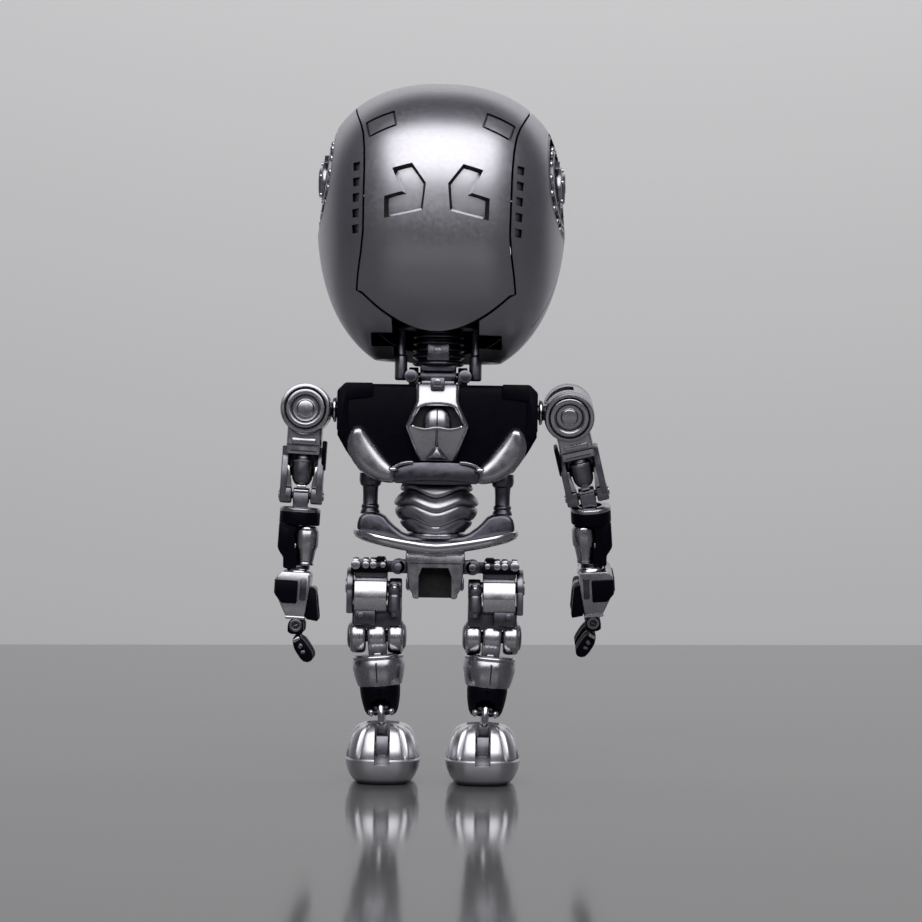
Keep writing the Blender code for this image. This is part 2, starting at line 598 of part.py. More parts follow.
def build_thigh(home, side, word):
    """A box with a hip fork above and the knee's two outer drums below."""
    body = side_block(side, (-4.9, -3.0, -8.6), (4.9, 2.8, -3.7), 0.4)
    steps = []
    for low, high, radius in ((4.8, 6.0, 3.6), (-4.9, -2.4, 1.6)):
        reach = radius - 0.1
        steps.append(add(side_block(side, (low, -reach, -5.4), (high, reach, 0))))
        steps.append(add(drum(radius, *span(side, low, high), "X", sides=18)))
    for out in (1, -1):
        near, far = sorted((out * 2.15, out * 5.3))
        steps.append(add(drum(3.4, near, far, "X", (0, 0, -KNEE_DROP), sides=18)))
    steps.append(cut(drum(3.75, -2.15, 2.15, "X", (0, 0, -KNEE_DROP), sides=18)))
    steps.append(add(drum(1.1, *span(side, -4.4, 5.2), "X", sides=8)))
    steps.append(add(drum(1.2, -3.0, 3.0, "X", (0, 0, -KNEE_DROP), sides=8)))
    piece(f"{word}_thigh_frame", home, "plated_silver", body, *steps)
    outline = [(3.75, 1.0), (4.4, 0.8), (4.9, 0.0), (4.9, -3.2), (4.5, -6.6), (3.2, -6.6), (3.2, -3.4),
               (3.9, -3.0), (4.0, 0.0)]
    cover = slab(outline, *span(side, -2.0, 4.4), "X")
    piece(f"{word}_thigh_cover", home, "bright_chrome", cover)
    ram = [(0, 0.6), (0.9, 0.6), (0.9, 0.1), (1.3, -0.2), (1.3, -4.4), (0.8, -4.9), (0.8, -5.9), (0, -5.9)]
    piece(f"{word}_thigh_ram", home, "plated_silver", turned(ram, "Z", (-side * 3.7, 4.5, 0), sides=8))


def build_shin(home, word):
    sleeve = [(0, -3.9), (5.0, -3.9), (5.3, -4.3), (5.3, -6.4), (4.9, -7.4), (4.5, -9.8), (0, -9.8)]
    piece(f"{word}_shin_sleeve", home, "plated_silver", turned(sleeve, "Z", sides=24, depth=0.9),
          add(drum(3.4, -1.8, 1.8, "X", sides=18)),
          add(block((-1.8, -2.8, -5.0), (1.8, 2.8, -1.0))),
          cut(drum(1.5, -4, 4, "X", sides=8)))
    boot = [(0, -10.1), (3.9, -10.1), (4.0, -10.9), (3.4, -13.6), (3.0, -14.6), (2.5, -15.5), (1.8, -16.0),
            (0, -16.0)]
    piece(f"{word}_shin_boot", home, "gloss_black", turned(boot, "Z", sides=18),
          cut(block((-1.9, -5, -18), (1.9, 5, -12.9))),
          add(drum(0.6, -2.4, 2.4, "X", (0, 0, -ANKLE_DROP), sides=8)))


def build_ankle(home, word):
    piece(f"{word}_ankle_link", home, "bright_chrome", drum(1.35, -1.6, 1.6, "X", sides=18),
          add(drum(0.85, -ROLL_DROP, -0.8, "Z", sides=8)),
          add(drum(1.4, -1.9, 1.9, "Y", (0, 0, -ROLL_DROP), sides=18)),
          cut(drum(0.9, -3, 3, "X", sides=8)), cut(drum(0.8, -4, 4, "Y", (0, 0, -ROLL_DROP), sides=8)))


def sole_depth():
    """How far the sole lies under the ankle's roll pin."""
    return HIP_Z - KNEE_DROP - (ANKLE_DROP + ROLL_DROP) * math.cos(math.radians(SHIN_TILT))


def build_foot(home, word):
    floor = -sole_depth()
    heel_depth = 8.0
    toe_depth = 8.4
    heel = dome((7.5, heel_depth, 7.8), 5.8, 3.0, (0, FOOT_HEEL_Y - heel_depth, 4.6 + floor))
    toe = dome((6.9, toe_depth, 4.8), 4.4, 2.6, (0, FOOT_TOE_Y + toe_depth, 3.4 + floor))
    piece(f"{word}_foot", home, "plated_silver", heel, add(toe),
          cut(block((-12, -24, floor - 8), (12, 14, floor))),
          cut(block((-3.2, -2.3, -2.0), (3.2, 2.3, 8.0))),
          cut(block((-1.55, 5.2, -4.6), (1.55, 12.0, 8.0))),
          add(drum(0.5, -3.4, 3.4, "Y", sides=8)))


SIDES = ((1, "left"), (-1, "right"))

clear_scene()
parts = collection("humanoid_robot_figure")
tools = collection("cutters")
finishes = {name: make_finish(name) for name in PALETTE}

figure = frame("stance", None, (STANCE_X, STANCE_Y, 0))
neck_axis = frame("neck_pitch_axis", figure, (0, 0, NECK_PIVOT_Z))
yaw_axis = frame("head_yaw_axis", neck_axis, (0, 0, -NECK_PIVOT_Z), (0, 0, HEAD_YAW))

build_torso(figure)
build_neck(neck_axis)
build_head(yaw_axis)
for limb_side, limb_word in SIDES:
    swing, lift, elbow, tilt, wrist, knuckle, tip, thumb = arm_frames(figure, limb_side, limb_word)
    build_shoulder(swing, lift, limb_side, limb_word)
    build_upper_arm(lift, limb_word)
    build_elbow(elbow, limb_word)
    build_forearm(tilt, limb_side, limb_word)
    build_hand(wrist, knuckle, tip, thumb, limb_side, limb_word)
    lift, swing, knee, ankle, roll = leg_frames(figure, limb_side, limb_word)
    build_hip(lift, limb_side, limb_word)
    build_thigh(swing, limb_side, limb_word)
    build_shin(knee, limb_word)
    build_ankle(ankle, limb_word)
    build_foot(roll, limb_word)
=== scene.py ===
"""Visual model of a posable humanoid robot figure about 139 mm tall, seen from behind.

Every piece is drawn in millimetres in the frame of the joint that carries it, which is taken from the
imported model, and stands for one CAD node. In a limb's frame +X points outwards, so the right limb is
the mirror image of the left one.
"""
import json
import math

import bmesh
import bpy
from mathutils import Euler, Matrix, Vector


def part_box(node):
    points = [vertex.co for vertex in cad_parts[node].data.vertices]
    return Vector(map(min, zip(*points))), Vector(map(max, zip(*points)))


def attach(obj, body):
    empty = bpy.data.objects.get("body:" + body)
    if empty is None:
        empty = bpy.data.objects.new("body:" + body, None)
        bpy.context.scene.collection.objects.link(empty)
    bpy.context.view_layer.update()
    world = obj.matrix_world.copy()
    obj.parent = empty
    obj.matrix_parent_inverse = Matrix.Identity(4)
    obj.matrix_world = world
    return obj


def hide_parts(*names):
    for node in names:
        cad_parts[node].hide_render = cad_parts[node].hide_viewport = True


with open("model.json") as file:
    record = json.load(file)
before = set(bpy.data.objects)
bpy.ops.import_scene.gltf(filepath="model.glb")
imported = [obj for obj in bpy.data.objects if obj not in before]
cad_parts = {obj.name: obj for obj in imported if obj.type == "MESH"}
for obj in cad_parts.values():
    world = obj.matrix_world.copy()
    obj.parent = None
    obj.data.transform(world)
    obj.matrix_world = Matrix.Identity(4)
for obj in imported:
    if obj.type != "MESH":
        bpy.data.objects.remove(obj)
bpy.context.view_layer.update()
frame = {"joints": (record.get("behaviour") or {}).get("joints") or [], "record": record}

RECORD = frame["record"]
JOINT = {joint["name"]: joint for joint in frame["joints"]}
BODY_OF = {node: body for body, nodes in RECORD["behaviour"]["bodies"].items() for node in nodes}
SIDES = ((1, "left"), (-1, "right"))

# Head form, in millimetres.
HEAD_Z = 115.0
HEAD_HALF = (24.8, 26.0)
HEAD_UP = 24.2
HEAD_DOWN = 34.0
HEAD_POWER = 2.35
HEAD_TUCK = 0.6
HEAD_WALL = 1.8
HEAD_FINENESS = 34
FACE_Y = -12.15
BROW_Z = 118.85
PANEL_GAP = 0.4
PIT_DEPTHS = (0.02, 1.75)
HEAD_LEAN = -0.9
HEAD_PIVOT_Z = 94.0
RIM_Z = 84.2
EAR_AT = (3.6, 119.0)
EAR_RADII = (11.6, 10.5)
EYE_AT = (9.0, 108.0)
EYE_RADIUS = 4.3
# Half width of the crown panel at each height, and the arc of its lower lip.
SEAM = ((97.0, 15.2), (100.0, 14.9), (104.0, 14.3), (108.0, 13.9), (120.0, 14.0), (124.0, 14.2),
        (127.0, 14.6), (129.0, 15.2), (131.0, 16.1), (133.0, 16.9), (150.0, 17.3))
SEAM_STEPS = [150.0] + [136.0 - k for k in range(40)]
LIP_Z = 89.6
POCKET = [(8.7, 120.0), (4.9, 121.0), (2.1, 117.2), (2.6, 112.0), (10.0, 110.4), (10.1, 114.6), (6.7, 115.5)]
PORT = [(9.2, 131.1), (14.0, 129.1), (13.3, 126.6), (8.6, 128.7)]
NOTCH_HEIGHTS = (120.4, 117.4, 114.4, 111.4, 108.4)

# Limb lengths, in millimetres.
ELBOW_DROP = 17.4
TILT_DROP = 3.4
KNUCKLE_DROP = 10.6
TIP_DROP = 2.8
KNEE_DROP = 10.0
ANKLE_DROP = 14.6
ROLL_DROP = 5.9
FINGER_CURL = 35.0
FINGER_ROWS = (-4.0, -2.0, 2.0, 4.0)

# Camera and studio, in metres.
CAMERA_AT = (-0.00264, 0.5202, 0.0644)
CAMERA_ROLL = -0.85
CAMERA_LENS = 101.5
TABLE_END = -0.39
TABLE_SKEW = 0.2
WALL_AT = -0.6
KEY_POWER = 11.5
WALL_POWER = 5.0

# Surface grain and the reach of the painted crevice shade, in metres, and the clouds' scale.
PAINTED_SHADE_REACH = 0.0014
BUMP_DEPTH = 0.00006
CLOUD_SCALE = 160.0
COAT_ROUGHNESS = 0.12


# ---------------------------------------------------------------- materials
def finish(name, colour, roughness, metallic=1.0, spread=0.25, grain=700.0, stretch=(1, 1, 1), bump=0.1,
           painted_crevice_shade=0.75, coat=0.0, mottle=0.12, shine=0.5):
    """A plated, lacquered or moulded surface: cloudy colour, uneven roughness, fine relief, and painted shade
    that darkens crevices and gaps between parts.
    """
    made = bpy.data.materials.new(name)
    made.use_nodes = True
    nodes, link = made.node_tree.nodes, made.node_tree.links.new

    def node(kind, **sockets):
        new = nodes.new(f"ShaderNode{kind}")
        for socket, value in sockets.items():
            new.inputs[socket.replace("_", " ")].default_value = value
        return new

    shader = nodes["Principled BSDF"]
    shader.inputs["Metallic"].default_value = metallic
    shader.inputs["Specular IOR Level"].default_value = shine
    shader.inputs["Coat Weight"].default_value = coat
    shader.inputs["Coat Roughness"].default_value = COAT_ROUGHNESS
    where = node("TexCoord").outputs["Object"]
    scaled = node("Mapping", Scale=[grain * s for s in stretch])
    fine = node("TexNoise", Scale=1.0, Detail=4.0)
    cloud = node("TexNoise", Scale=CLOUD_SCALE, Detail=3.0)
    rough = node("MapRange", From_Min=0.3, From_Max=0.7, To_Min=roughness * (1 - spread),
                 To_Max=roughness * (1 + spread))
    clouded = node("MixRGB", Color1=(*[v * (1 - mottle) for v in colour], 1),
                   Color2=(*[min(1, v * (1 + mottle)) for v in colour], 1))
    # Painted shade: an ambient occlusion probe darkens the base colour towards near black in crevices and
    # between parts.
    crevice = node("AmbientOcclusion", Distance=PAINTED_SHADE_REACH)
    crevice.samples = 4
    open_to = node("MapRange", From_Min=0.25, From_Max=0.85, To_Min=1 - painted_crevice_shade, To_Max=1.0)
    colour_with_painted_shade = node("MixRGB", Color1=(0.006, 0.005, 0.009, 1))
    link(where, scaled.inputs["Vector"])
    link(scaled.outputs["Vector"], fine.inputs["Vector"])
    link(where, cloud.inputs["Vector"])
    link(fine.outputs["Fac"], rough.inputs["Value"])
    link(rough.outputs["Result"], shader.inputs["Roughness"])
    link(cloud.outputs["Fac"], clouded.inputs["Fac"])
    link(crevice.outputs["AO"], open_to.inputs["Value"])
    link(open_to.outputs["Result"], colour_with_painted_shade.inputs["Fac"])
    link(clouded.outputs["Color"], colour_with_painted_shade.inputs["Color2"])
    link(colour_with_painted_shade.outputs["Color"], shader.inputs["Base Color"])
    if bump:
        relief = node("Bump", Strength=bump, Distance=BUMP_DEPTH)
        link(fine.outputs["Fac"], relief.inputs["Height"])
        link(relief.outputs["Normal"], shader.inputs["Normal"])
    return made


# Each finish's crevice darkening is painted shade.
FINISH = {
    "lacquer": finish("head_lacquer", (0.50, 0.49, 0.53), 0.34, grain=1400, bump=0.05, painted_crevice_shade=0.85, mottle=0.05,
                      spread=0.12),
    "plated": finish("plated_die_cast", (0.50, 0.49, 0.53), 0.27, grain=500),
    "dull": finish("dull_plated", (0.24, 0.235, 0.27), 0.34, grain=600),
    "brushed": finish("brushed_plated", (0.58, 0.57, 0.61), 0.26, grain=1.0, stretch=(5200, 350, 350),
                      bump=0.35, spread=0.4),
    "chrome": finish("bright_chrome", (0.70, 0.69, 0.73), 0.17, grain=400, bump=0.03, painted_crevice_shade=0.5, mottle=0.03),
    "gun": finish("gunmetal_lacquer", (0.13, 0.125, 0.15), 0.33, grain=700),
    "satin": finish("satin_chrome", (0.60, 0.59, 0.62), 0.26, grain=500, mottle=0.06),
    "heel": finish("heel_plated", (0.76, 0.75, 0.79), 0.35, grain=500, mottle=0.05, spread=0.15),
    "folds": finish("folded_boot", (0.48, 0.47, 0.51), 0.36, grain=500, painted_crevice_shade=0.6),
    "black": finish("black_moulding", (0.003, 0.0025, 0.006), 0.40, metallic=0.0, bump=0.06, painted_crevice_shade=0.3,
                    shine=0.05),
    # Painted shade: a near-black finish laid on recess floors, liners and bores where only shade falls.
    "void": finish("painted_shade_black", (0.004, 0.004, 0.006), 0.6, metallic=0.0, bump=0.0, painted_crevice_shade=0.5),
    "lens": finish("dark_lens", (0.012, 0.02, 0.028), 0.05, metallic=0.0, bump=0.0, painted_crevice_shade=0.0, coat=1.0),
}


# ---------------------------------------------------------------- forms
def placed(form, at=(0, 0, 0), turn=(0, 0, 0)):
    angles = Euler([math.radians(a) for a in turn])
    form.transform(Matrix.Translation(at) @ angles.to_matrix().to_4x4())
    return form


def rounded(form, width, segments=2, angle=32):
    """Rounds the edges that are sharper than an angle."""
    if width:
        sharp = [e for e in form.edges if e.is_manifold and e.calc_face_angle(0) > math.radians(angle)]
        bmesh.ops.bevel(form, geom=sharp, offset=width, segments=segments, profile=0.5, affect="EDGES",
                        clamp_overlap=True)
    return form


def skin(loops, closed=False):
    """Joins loops of points with quads. A loop of one point is a tip. Open ends of more points get a cap."""
    form = bmesh.new()
    rows = [[form.verts.new(p) for p in loop] for loop in loops]
    count = max(len(row) for row in rows)
    for one, two in zip(rows, rows[1:] + (rows[:1] if closed else [])):
        for k in range(count):
            corners = (one[k % len(one)], one[(k + 1) % len(one)], two[(k + 1) % len(two)], two[k % len(two)])
            form.faces.new(list(dict.fromkeys(corners)))
    if not closed:
        for row in (rows[0], rows[-1]):
            if len(row) > 2:
                form.faces.new(row)
    bmesh.ops.recalc_face_normals(form, faces=form.faces)
    return form


AXIS_TURN = {"X": (0, 90, 0), "Y": (-90, 0, 0), "Z": (0, 0, 0)}


def lathe(profile, axis="Z", at=(0, 0, 0), sides=48, squash=1.0, closed=False, edge=0.0):
    """Turns (radius, height) points round an axis, and rounds the sharp rings."""
    loops = []
    for radius, height in profile:
        angles = [0.0] if radius < 1e-6 else [math.tau * k / sides for k in range(sides)]
        loops.append([(radius * math.cos(a), radius * squash * math.sin(a), height) for a in angles])
    return placed(rounded(skin(loops, closed), edge), at, AXIS_TURN[axis])


def drum(radius, start, end, axis="Z", at=(0, 0, 0), edge=0.25, sides=40, squash=1.0, bore=0.0):
    """A round bar, or a ring when it has a bore."""
    walls = [(bore, start), (radius, start), (radius, end), (bore, end)]
    return lathe(walls, axis, at, sides, squash, closed=bore > 0, edge=edge)


def slab(outline, start, end, axis="Y", edge=0.25, segments=2):
    """A flat outline, in XZ, YZ or XY, with a thickness along the axis."""
    order = {"Y": lambda u, v, t: (u, t, v), "X": lambda u, v, t: (t, u, v), "Z": lambda u, v, t: (u, v, t)}
    loops = [[order[axis](u, v, t) for u, v in outline] for t in (start, end)]
    return rounded(skin(loops), edge, segments)


def block(low, high, edge=0.25, turn=(0, 0, 0)):
    """A box between two corners, turned about its middle."""
    half = [(b - a) / 2 for a, b in zip(low, high)]
    corners = [(-half[0], -half[1]), (half[0], -half[1]), (half[0], half[1]), (-half[0], half[1])]
    form = slab(corners, -half[2], half[2], "Z", edge)
    return placed(form, [(a + b) / 2 for a, b in zip(low, high)], turn)


def ball(radii, at=(0, 0, 0), down=None, power=2.0, around=32, along=18):
    """A squarish ball; down is its half height below its middle."""
    def bulged(*way):
        x, y, z = [math.copysign(abs(v) ** (2 / power), v) for v in way]
        return (x * radii[0], y * radii[1], z * (radii[2] if z > 0 or down is None else down))

    turns = [math.pi / 2 + math.tau * k / around for k in range(around)]
    loops = [[bulged(0, 0, 1)]]
    for tilt in (math.pi * k / along for k in range(1, along)):
        loops.append([bulged(math.sin(tilt) * math.cos(a), math.sin(tilt) * math.sin(a), math.cos(tilt))
                      for a in turns])
    return placed(skin([*loops, [bulged(0, 0, -1)]]), at)


def curve_through(points, steps=6):
    """A smooth path through points."""
    points = [Vector(p) for p in points]
    ends = [2 * points[0] - points[1], *points, 2 * points[-1] - points[-2]]
    path = []
    for a, b, c, d in zip(ends, ends[1:], ends[2:], ends[3:]):
        for k in range(steps):
            t = k / steps
            path.append(0.5 * (2 * b + (c - a) * t + (2 * a - 5 * b + 4 * c - d) * t ** 2
                               + (3 * b - a - 3 * c + d) * t ** 3))
    return [*path, points[-1]]


def pipe(points, radius, sides=14, steps=6, depth=1.0, taper=1.0):
    """A bar with rounded ends along a smooth path; depth scales it across the view, taper its far end."""
    path = curve_through(points, steps)
    loops = [[path[0]]]
    for number, point in enumerate(path):
        ahead = (path[min(number + 1, len(path) - 1)] - path[max(number - 1, 0)]).normalized()
        across = ahead.cross(Vector((0, 1, 0)))
        across = across.normalized() if across.length > 0.05 else Vector((1, 0, 0))
        up = ahead.cross(across).normalized()
        share = number / (len(path) - 1)
        ends = math.sqrt(max(0.0, 1 - (1 - min(1.0, share * 8 + 0.35, (1 - share) * 8 + 0.35)) ** 2))
        size = radius * (1 + (taper - 1) * share) * ends
        loops.append([point + across * size * math.cos(a) + up * size * depth * math.sin(a)
                      for a in (math.tau * k / sides for k in range(sides))])
    return skin([*loops, [path[-1]]])


def smoothed(outline, rounds=2):
    """A closed outline with its corners cut."""
    for _ in range(rounds):
        ring = []
        for (ax, ay), (bx, by) in zip(outline, outline[1:] + outline[:1]):
            ring += [(ax * 0.78 + bx * 0.22, ay * 0.78 + by * 0.22),
                     (ax * 0.22 + bx * 0.78, ay * 0.22 + by * 0.78)]
        outline = ring
    return outline


def mirrored(half):
    """A closed outline from its outward half, listed from the top down."""
    return half + [(-x, z) for x, z in reversed(half)]


def facing(side, outline):
    """An outline, or a path, on one side: the other side's is its mirror image."""
    return [(side * point[0], *point[1:]) for point in outline]


def boolean(kind, form, *tools):
    """Cuts tools from a form, or keeps what they share, exactly."""
    things = []
    for source in (form, *tools):
        mesh = bpy.data.meshes.new("boolean")
        source.to_mesh(mesh)
        source.free()
        thing = bpy.data.objects.new("boolean", mesh)
        bpy.context.scene.collection.objects.link(thing)
        things.append(thing)
    base = things[0]
    for tool in things[1:]:
        step = base.modifiers.new("step", "BOOLEAN")
        step.operation = kind
        step.solver = "EXACT"
        step.object = tool
    graph = bpy.context.evaluated_depsgraph_get()
    result = bmesh.new()
    result.from_object(base, graph)
    for thing in things:
        mesh = thing.data
        bpy.data.objects.remove(thing)
        bpy.data.meshes.remove(mesh)
    bmesh.ops.remove_doubles(result, verts=result.verts, dist=0.002)
    return result


def cut(form, *tools):
    return boolean("DIFFERENCE", form, *tools)


def common(form, *tools):
    return boolean("INTERSECT", form, *tools)


# ---------------------------------------------------------------- pieces
def seat(at, x, z, side=1):
    """A joint's frame in millimetres, with +X outwards."""
    x, z = Vector(x).normalized(), Vector(z).normalized()
    y = z.cross(x)
    turn = Matrix((x * side, y, z)).transposed().to_4x4()
    return Matrix.Translation(Vector(at)) @ turn @ Matrix.Scale(0.001, 4)


def piece(node, home, *pairs, sharp=34):
    """Joins (finish, form) pairs into one object, which stands for a CAD node and rides on its body."""
    whole = bmesh.new()
    used = list(dict.fromkeys(name for name, _ in pairs))
    for name, form in pairs:
        for face in form.faces:
            face.material_index = used.index(name)
            face.smooth = True
        mesh = bpy.data.meshes.new("form")
        form.to_mesh(mesh)
        form.free()
        whole.from_mesh(mesh)
        bpy.data.meshes.remove(mesh)
    whole.transform(home)
    if home.determinant() < 0:
        bmesh.ops.reverse_faces(whole, faces=whole.faces)
    mesh = bpy.data.meshes.new(f"{node}_look")
    whole.to_mesh(mesh)
    whole.free()
    for name in used:
        mesh.materials.append(FINISH[name])
    mesh.set_sharp_from_angle(angle=math.radians(sharp))
    thing = bpy.data.objects.new(f"{node}_look", mesh)
    bpy.context.scene.collection.objects.link(thing)
    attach(thing, BODY_OF[node])
    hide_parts(node)
    return thing


def middle(node):
    low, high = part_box(node)
    return (low + high) / 2


# ---------------------------------------------------------------- head
def head_point(way, shrink):
    """The point of the head's surface that lies in a direction from its middle."""
    half = (HEAD_HALF[0] - shrink, HEAD_HALF[1] - shrink, (HEAD_UP if way[2] > 0 else HEAD_DOWN) - shrink)
    reach = sum(abs(v / h) ** HEAD_POWER for v, h in zip(way, half)) ** (-1 / HEAD_POWER)
    x, y, z = [v * reach for v in way]
    if y > 0 > z:
        y *= 1 - HEAD_TUCK * (-z / half[2]) ** 3
    return Vector((x, y, z + HEAD_Z))


def head_ball(shrink):
    """The head's closed outer form, drawn in by shrink, with even square faces."""
    form = bmesh.new()
    bmesh.ops.create_cube(form, size=2.0)
    bmesh.ops.subdivide_edges(form, edges=form.edges, cuts=HEAD_FINENESS, use_grid_fill=True)
    for vert in form.verts:
        vert.co = head_point([math.tan(v * math.pi / 4) for v in vert.co], shrink)
    return form


def head_wall():
    """The head's wall as a hollow body."""
    outer, inner = head_ball(0.0), head_ball(HEAD_WALL)
    bmesh.ops.reverse_faces(inner, faces=inner.faces)
    mesh = bpy.data.meshes.new("inside")
    inner.to_mesh(mesh)
    inner.free()
    outer.from_mesh(mesh)
    bpy.data.meshes.remove(mesh)
    return outer


def head_back(x, z):
    """The point of the head's back at a place in the rear view."""
    drop = (z - HEAD_Z) / (HEAD_UP if z > HEAD_Z else HEAD_DOWN)
    rest = 1 - abs(x / HEAD_HALF[0]) ** HEAD_POWER - abs(drop) ** HEAD_POWER
    y = HEAD_HALF[1] * max(rest, 0.0) ** (1 / HEAD_POWER)
    if drop < 0:
        y *= 1 - HEAD_TUCK * (-drop) ** 3
    return Vector((x, y, z))


def sunk(x, z, depth):
    """A point under the head's back by depth, or over it where depth is negative."""
    step = 0.3
    along = head_back(x + step, z) - head_back(x - step, z)
    up = head_back(x, z + step) - head_back(x, z - step)
    return head_back(x, z) - up.cross(along).normalized() * depth


def inset(outline, amount):
    """An outline listed clockwise, drawn in by an amount."""
    moved = []
    for before, here, after in zip(outline[-1:] + outline[:-1], outline, outline[1:] + outline[:1]):
        one = (Vector(here) - Vector(before)).normalized().orthogonal()
        two = (Vector(after) - Vector(here)).normalized().orthogonal()
        step = one + two
        moved.append(tuple(Vector(here) + step * (2 * amount / step.length_squared)))
    return moved


def back_cutter(outline, depth, side, slope=0.0):
    """A pit over an outline on the head's back, sunk by depth, with sloped walls."""
    rings = ((outline, -0.8), (outline, 0.0), (inset(outline, slope), depth))
    return skin([[sunk(side * x, z, d) for x, z in ring] for ring, d in rings])


def back_groove(outline, width, depth, side):
    """A closed ring over an outline on the head's back, sunk by depth."""
    inner = inset(outline, width)
    loops = [[sunk(side * x, z, d) for x, z in ring]
             for ring, d in ((outline, -0.6), (outline, depth), (inner, depth), (inner, -0.6))]
    return skin(loops, closed=True)


def taken(form, test):
    """The faces of a form that pass a test, taken out of it as a form of their own."""
    chosen = form.copy()
    bmesh.ops.delete(chosen, geom=[f for f in chosen.faces if not test(f)], context="FACES")
    bmesh.ops.delete(form, geom=[f for f in form.faces if test(f)], context="FACES")
    return chosen


def pit_part(upwards):
    """A test for the walls of a pit or a seam in the head's back, by which way they face: walls facing up,
    high on the head and off the seams, get a painted highlight; the others get painted shade.
    """
    def test(face):
        at = face.calc_center_median()
        if at.y < 10 or abs(at.x) > 22 or at.z < 86:
            return False
        under = (sunk(at.x, at.z, 1.0) - head_back(at.x, at.z)).dot(at - head_back(at.x, at.z))
        steep = abs(face.normal.dot(sunk(at.x, at.z, 1.0) - head_back(at.x, at.z))) < 0.93
        # Walls that face up take the painted highlight; all others take painted shade.
        lit = face.normal.z > 0.35 and at.z > 105 and abs(abs(at.x) - seam(at.z)) > 0.7
        return PIT_DEPTHS[0] < under < PIT_DEPTHS[1] and steep and lit == upwards
    return test


def shell_piece(node, home, shell):
    """A panel of the head; the walls of its pits and seams get painted shade in near black where they face
    down or sideways, and a painted highlight in bright chrome where they face up.
    """
    painted_shade_walls, painted_highlight_walls = taken(shell, pit_part(False)), taken(shell, pit_part(True))
    piece(node, home, ("lacquer", shell), ("void", painted_shade_walls), ("chrome", painted_highlight_walls))


def seam(z):
    """Half the crown's width at a height."""
    for (low, start), (high, end) in zip(SEAM, SEAM[1:]):
        if z <= high:
            share = max(0.0, (z - low) / (high - low))
            return start + (end - start) * share
    return SEAM[-1][1]


def lip(x):
    """The height of the crown's lower edge."""
    return LIP_Z + 3.3 * (abs(x) / 9.5) ** 1.9


def crown_outline():
    half = [(seam(z), z) for z in SEAM_STEPS]
    arc = [(15.2 - 0.95 * k, lip(15.2 - 0.95 * k)) for k in range(1, 16)]
    return mirrored(half + arc)


def side_outline():
    """The side panel's region in the rear view, beside the crown's seam and round its lower lip."""
    edge = [(seam(z) + PANEL_GAP, z) for z in SEAM_STEPS]
    arc = [(15.2 - 0.95 * k, lip(15.2 - 0.95 * k) - PANEL_GAP * 1.4) for k in range(1, 8)]
    return edge + arc + [(8.4, 78.0), (40.0, 78.0), (40.0, 150.0)]


def face_region(gap):
    return block((-40, -40, 60), (40, FACE_Y + gap, BROW_Z + gap), 0)


def neck_way():
    """What the head's wall leaves open for the neck."""
    return [block((-40, -40, 70), (40, 40, RIM_Z), 0), drum(10.5, 72, 93, edge=0, sides=64)]


def ear_rod(near, far, room):
    across, tall = EAR_RADII[0] + room, EAR_RADII[1] + room
    return drum(tall, near, far, "X", (0, *EAR_AT), edge=0, sides=64, squash=across / tall)


def build_crown(home):
    wall = common(head_wall(), slab(crown_outline(), -40, 40, edge=0))
    cutters = [face_region(0.15)]
    for side, _ in SIDES:
        pocket = cut(back_cutter(POCKET, 2.0, side, 1.0), head_ball(1.1))
        cutters += [pocket, back_groove(PORT, 0.42, 0.45, side)]
    shell_piece("crown_shell", home, cut(wall, *cutters))


def build_side_shell(home, word):
    wall = common(head_wall(), slab(side_outline(), -40, 40, edge=0))
    jaw_line = cut(block((17, 4.6, 91), (40, 5.0, 101.5), 0, (16, 0, 0)), head_ball(0.55))
    window = block((7.0, 2, 86.6), (12.9, 40, 89.2), 0.2)
    cutters = [face_region(0.15), *neck_way(), ear_rod(8, 40, 0.3), jaw_line, window]
    for z in NOTCH_HEIGHTS:
        x = seam(z) + 1.75
        notch = [(x - 0.65, z - 0.7), (x - 0.65, z + 0.95), (x + 0.7, z + 0.75), (x + 0.55, z - 0.85)]
        cutters.append(back_cutter(notch, 0.65, 1, 0.42))
    shell_piece(f"{word}_side_shell", home, cut(wall, *cutters))


def build_ear(home, word):
    """A sunk dark dish with a bright rim, a ring of studs, ribs and a turned hub."""
    ear_y, ear_z = EAR_AT
    dish = common(ear_rod(16.5, 40, 0.0), head_ball(1.0))
    rim = cut(common(ear_rod(17.0, 40, 0.0), head_ball(0.2)), ear_rod(10, 40, -0.7), head_ball(1.8))
    inner_rim = cut(common(ear_rod(17.0, 40, -3.0), head_ball(0.55)), ear_rod(10, 40, -3.6), head_ball(1.8))
    hub = [(0, 24.5), (0.9, 24.5), (1.1, 24.2), (1.9, 24.1), (2.0, 24.4), (2.9, 24.4), (3.1, 23.8),
           (4.3, 23.6), (4.5, 22.6), (0, 22.6)]
    pairs = [("black", dish), ("dull", rim), ("dull", inner_rim),
             ("plated", lathe(hub, "X", (0, ear_y, ear_z), edge=0.12))]
    for number in range(16):
        angle = math.tau * (number + 0.5) / 16
        y, z = ear_y + 9.4 * math.cos(angle), ear_z + 8.5 * math.sin(angle)
        at = head_point((24.0, y * 1.06, (z - HEAD_Z) * 1.03), 0.95)
        pairs.append(("chrome", ball((0.7, 0.75, 0.75), at, around=14, along=10)))
    for number in range(6):
        angle = math.tau * number / 6 + 0.26
        y, z = ear_y + 3.7 * math.cos(angle), ear_z + 3.7 * math.sin(angle)
        pairs.append(("chrome", drum(0.42, 22.9, 24.05, "X", (0, y, z), 0.1, 10)))
    for angle in (45, 135, 225, 315):
        y = ear_y + 5.6 * math.cos(math.radians(angle))
        z = ear_z + 5.6 * math.sin(math.radians(angle))
        pairs.append(("dull", block((21.6, y - 1.2, z - 0.4), (23.2, y + 1.2, z + 0.4), 0.12,
                                    (angle - 90, 0, 0))))
    piece(f"{word}_ear_pod", home, *pairs)


